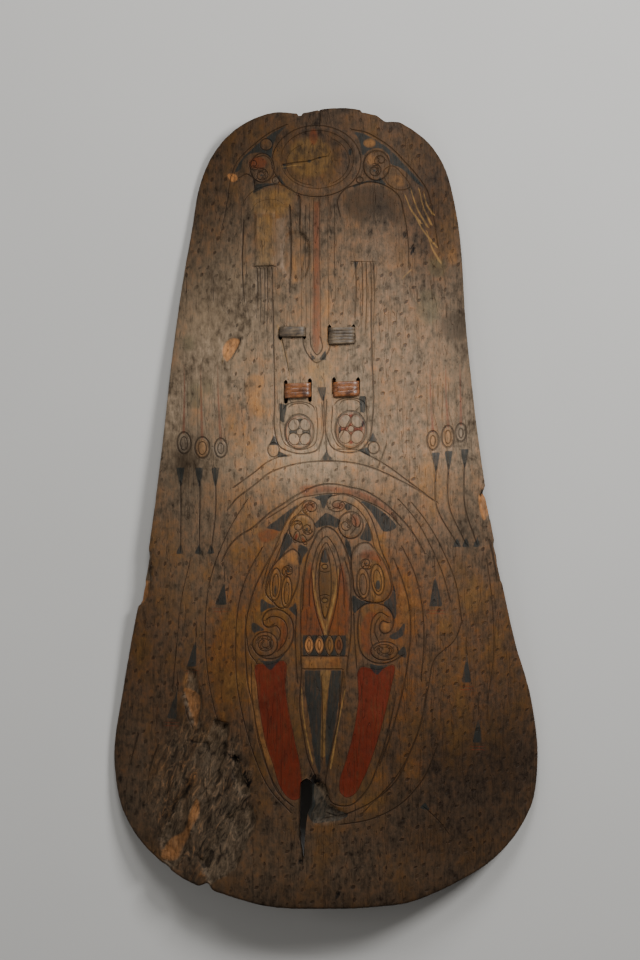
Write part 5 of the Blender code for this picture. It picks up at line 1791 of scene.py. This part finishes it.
def strength_setting(name, description, default):
    """A number from 0 up."""
    return FloatProperty(name=name, description=description, default=default, min=0.0)


def colour_setting(name, description, code):
    """A colour given by its sRGB hex value."""
    return FloatVectorProperty(name=name, description=description, default=linear(code), subtype="COLOR",
                               size=3, min=0.0, max=1.0)


class ShieldBoardSettings(bpy.types.PropertyGroup):
    """Sizes and colours of the painted board"""

    rim_rounding: length_setting("Rim rounding", "Radius of the worn rim", 0.0028)
    groove: length_setting("Groove depth", "Depth of the cut lines", 0.00026)
    carving: strength_setting("Carving", "Strength of the raised and sunken parts", 1.0)
    pale_wood: colour_setting("Pale wood", "Greyed wood on the worn parts", "#AC9478")
    warm_wood: colour_setting("Warm wood", "Brown wood where the surface is whole", "#9C5D24")
    # Also the colour of the painted shade, where the tone is low.
    dark_wood: colour_setting("Dark wood", "Wood darkened by smoke and handling", "#1A1008")
    red_paint: colour_setting("Red paint", "Iron oxide", "#661E08")
    ochre_paint: colour_setting("Ochre paint", "Yellow earth", "#93703C")
    soot_paint: colour_setting("Black paint", "Soot, gone blue-grey", "#232928")
    red_wash: colour_setting("Reddish wash", "Thin iron oxide, rubbed", "#70300F")
    orange_wash: colour_setting("Orange wash", "Thin earth over fresh wood", "#A06C36")
    grey_wash: colour_setting("Greyish wash", "Thin lime, greyed", "#86796A")
    yellow_wash: colour_setting("Yellowish wash", "Thin yellow earth", "#8E6C34")
    dark_wash: colour_setting("Dark wash", "Smoke and grease", "#21190C")
    olive_wash: colour_setting("Olive wash", "Greenish dirt", "#4B4A30")
    line_ink: colour_setting("Line colour", "Dirt in the cut lines", "#170E08")
    bare_wood: colour_setting("Bare wood", "Fresh wood where layers have split off", "#C08048")
    # Near-black: rotten wood, and the painted shadow in holes, pits and the cracks of the rot.
    rot_and_hole_shadow: colour_setting("Rotten wood", "Wood in holes and rot", "#0A0705")


class ShieldHandleSettings(bpy.types.PropertyGroup):
    """Sizes and colours of the handle and its lashings"""

    joint_spacing: length_setting("Joint spacing", "Distance between the cane's joints", 0.058)
    strap_thickness: length_setting("Strap thickness", "Thickness of the split cane", STRAP_THICKNESS)
    loop_colour: colour_setting("Loop colour", "Skin of the cane loops", "#8A6336")
    loop_shade: colour_setting("Loop shade", "Dirt on the cane loops", "#3D2817")
    fresh_strap: colour_setting("Lower straps", "Brown polished split cane", "#8F5830")
    fresh_shade: colour_setting("Lower straps' shade", "Dirt on the brown straps", "#3B2011")
    grey_strap: colour_setting("Upper straps", "Greyed split cane", "#6E5C46")
    grey_shade: colour_setting("Upper straps' shade", "Dirt on the greyed straps", "#241B13")


class ShieldStageSettings(bpy.types.PropertyGroup):
    """The floor, the lights and the eye"""

    floor_colour: colour_setting("Floor", "Plain pale floor", "#B9B8B5")
    key_power: strength_setting("Key light", "Power of the light from the right, in watts", 44.0)
    fill_power: strength_setting("Fill light", "Power of the light from the left, in watts", 11.0)
    top_power: strength_setting("Top light", "Power of the light over the head, in watts", 20.0)
    air: strength_setting("Air", "Brightness of the light from all round", 0.16)


def settle(piece, slot, *nodes):
    """Fasten a finished piece to the frame, in the place of its solids."""
    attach(piece, BODY)
    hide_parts(*nodes)


class SHIELD_OT_board(bpy.types.Operator):
    """Make the carved and painted board"""

    bl_idname = "shield.board"
    bl_label = "Board"

    def execute(self, context):
        settings = context.scene.shield_board
        points, faces, attributes, layer_count = board_surfaces(settings)
        material = painted_hardwood(settings, layer_count)
        piece = make_mesh("carved_painted_board", points, faces, attributes, material)
        settle(piece, "painted_wood", "board")
        return {"FINISHED"}


class SHIELD_OT_handle(bpy.types.Operator):
    """Make the two cane loops on the back"""

    bl_idname = "shield.handle"
    bl_label = "Handle loops"

    def execute(self, context):
        settings = context.scene.shield_handle
        material = cane("rattan_cane_bent_whole", settings.loop_colour, settings.loop_shade, 0.42, True)
        for name, side in (("left", -1), ("right", 1)):
            points, faces, attributes = loop_surface(side, settings)
            piece = make_mesh("cane_loop_" + name, points, [faces], attributes, material)
            settle(piece, "rattan", "handle_loop_" + name)
        return {"FINISHED"}


class SHIELD_OT_lashings(bpy.types.Operator):
    """Make the four split cane lashings"""

    bl_idname = "shield.lashings"
    bl_label = "Lashings"

    def execute(self, context):
        settings = context.scene.shield_handle
        fresh = cane("split_cane_polished_by_handling", settings.fresh_strap, settings.fresh_shade, 0.32,
                     False)
        grey = cane("split_cane_weathered_grey", settings.grey_strap, settings.grey_shade, 0.52, False)
        for node, lashing in LASHINGS.items():
            points, faces, attributes = lashing_surface(lashing, settings)
            material = grey if lashing.end > 0 else fresh
            piece = make_mesh("cane_" + node, points, [faces], attributes, material)
            settle(piece, "split_cane", node)
        return {"FINISHED"}


def aim(item, target):
    """Turn a light or a camera towards a place."""
    item.rotation_euler = (Vector(target) - item.location).to_track_quat("-Z", "Y").to_euler()


class SHIELD_OT_stage(bpy.types.Operator):
    """Make the floor, the lights and the camera"""

    bl_idname = "shield.stage"
    bl_label = "Stage"

    def execute(self, context):
        settings = context.scene.shield_stage
        half = FLOOR_SIZE / 2
        points = np.array([(x, y, FLOOR_LEVEL) for x, y in ((-half, -half), (half, -half), (half, half),
                                                            (-half, half))])
        faces = [np.array([[0, 1, 2, 3]])]
        floor = make_mesh("floor", points, faces, {}, floor_board(settings.floor_colour))

        for name, place, size, power in LIGHTS:
            light = bpy.data.lights.new(name, "AREA")
            light.size = size
            light.energy = getattr(settings, power)
            item = bpy.data.objects.new(name, light)
            context.scene.collection.objects.link(item)
            item.location = place
            aim(item, LIT_PLACE)

        world = bpy.data.worlds.new("air")
        world.use_nodes = True
        sky = world.node_tree.nodes["Background"]
        sky.inputs["Color"].default_value = AIR_TINT
        sky.inputs["Strength"].default_value = settings.air
        context.scene.world = world

        camera = bpy.data.cameras.new("eye")
        camera.lens = camera.sensor_width * (EYE_HEIGHT - SHEET_LEVEL) * MM / SHEET_LENGTH
        camera.clip_end = 3 * EYE_HEIGHT
        eye = bpy.data.objects.new("eye", camera)
        context.scene.collection.objects.link(eye)
        eye.location = (EYE_ACROSS, EYE_ALONG, EYE_HEIGHT)
        context.scene.camera = eye
        return {"FINISHED"}


class SHIELD_PT_panel(bpy.types.Panel):
    """The shield's settings and steps"""

    bl_idname = "SHIELD_PT_panel"
    bl_label = "Shield"
    bl_space_type = "VIEW_3D"
    bl_region_type = "UI"
    bl_category = "Shield"

    def draw(self, context):
        for group, (_, *operators) in GROUPS.items():
            box = self.layout.box()
            settings = getattr(context.scene, group)
            for name in settings.__annotations__:
                box.prop(settings, name)
            for operator in operators:
                box.operator(operator.bl_idname)


# Each group of settings: its class, and the steps that use it.
GROUPS = {
    "shield_board": (ShieldBoardSettings, SHIELD_OT_board),
    "shield_handle": (ShieldHandleSettings, SHIELD_OT_handle, SHIELD_OT_lashings),
    "shield_stage": (ShieldStageSettings, SHIELD_OT_stage),
}
CLASSES = (*(item for group in GROUPS.values() for item in group), SHIELD_PT_panel)


def register():
    """Add the classes and the scene's settings."""
    for item in CLASSES:
        bpy.utils.register_class(item)
    for name, (group, *_) in GROUPS.items():
        setattr(bpy.types.Scene, name, PointerProperty(type=group))


def unregister():
    """Take the settings and the classes away again."""
    for name in GROUPS:
        delattr(bpy.types.Scene, name)
    for item in reversed(CLASSES):
        bpy.utils.unregister_class(item)


def main():
    """Make every piece and the stage."""
    register()
    bpy.ops.shield.board()
    bpy.ops.shield.handle()
    bpy.ops.shield.lashings()
    bpy.ops.shield.stage()


if __name__ == "__main__":
    main()
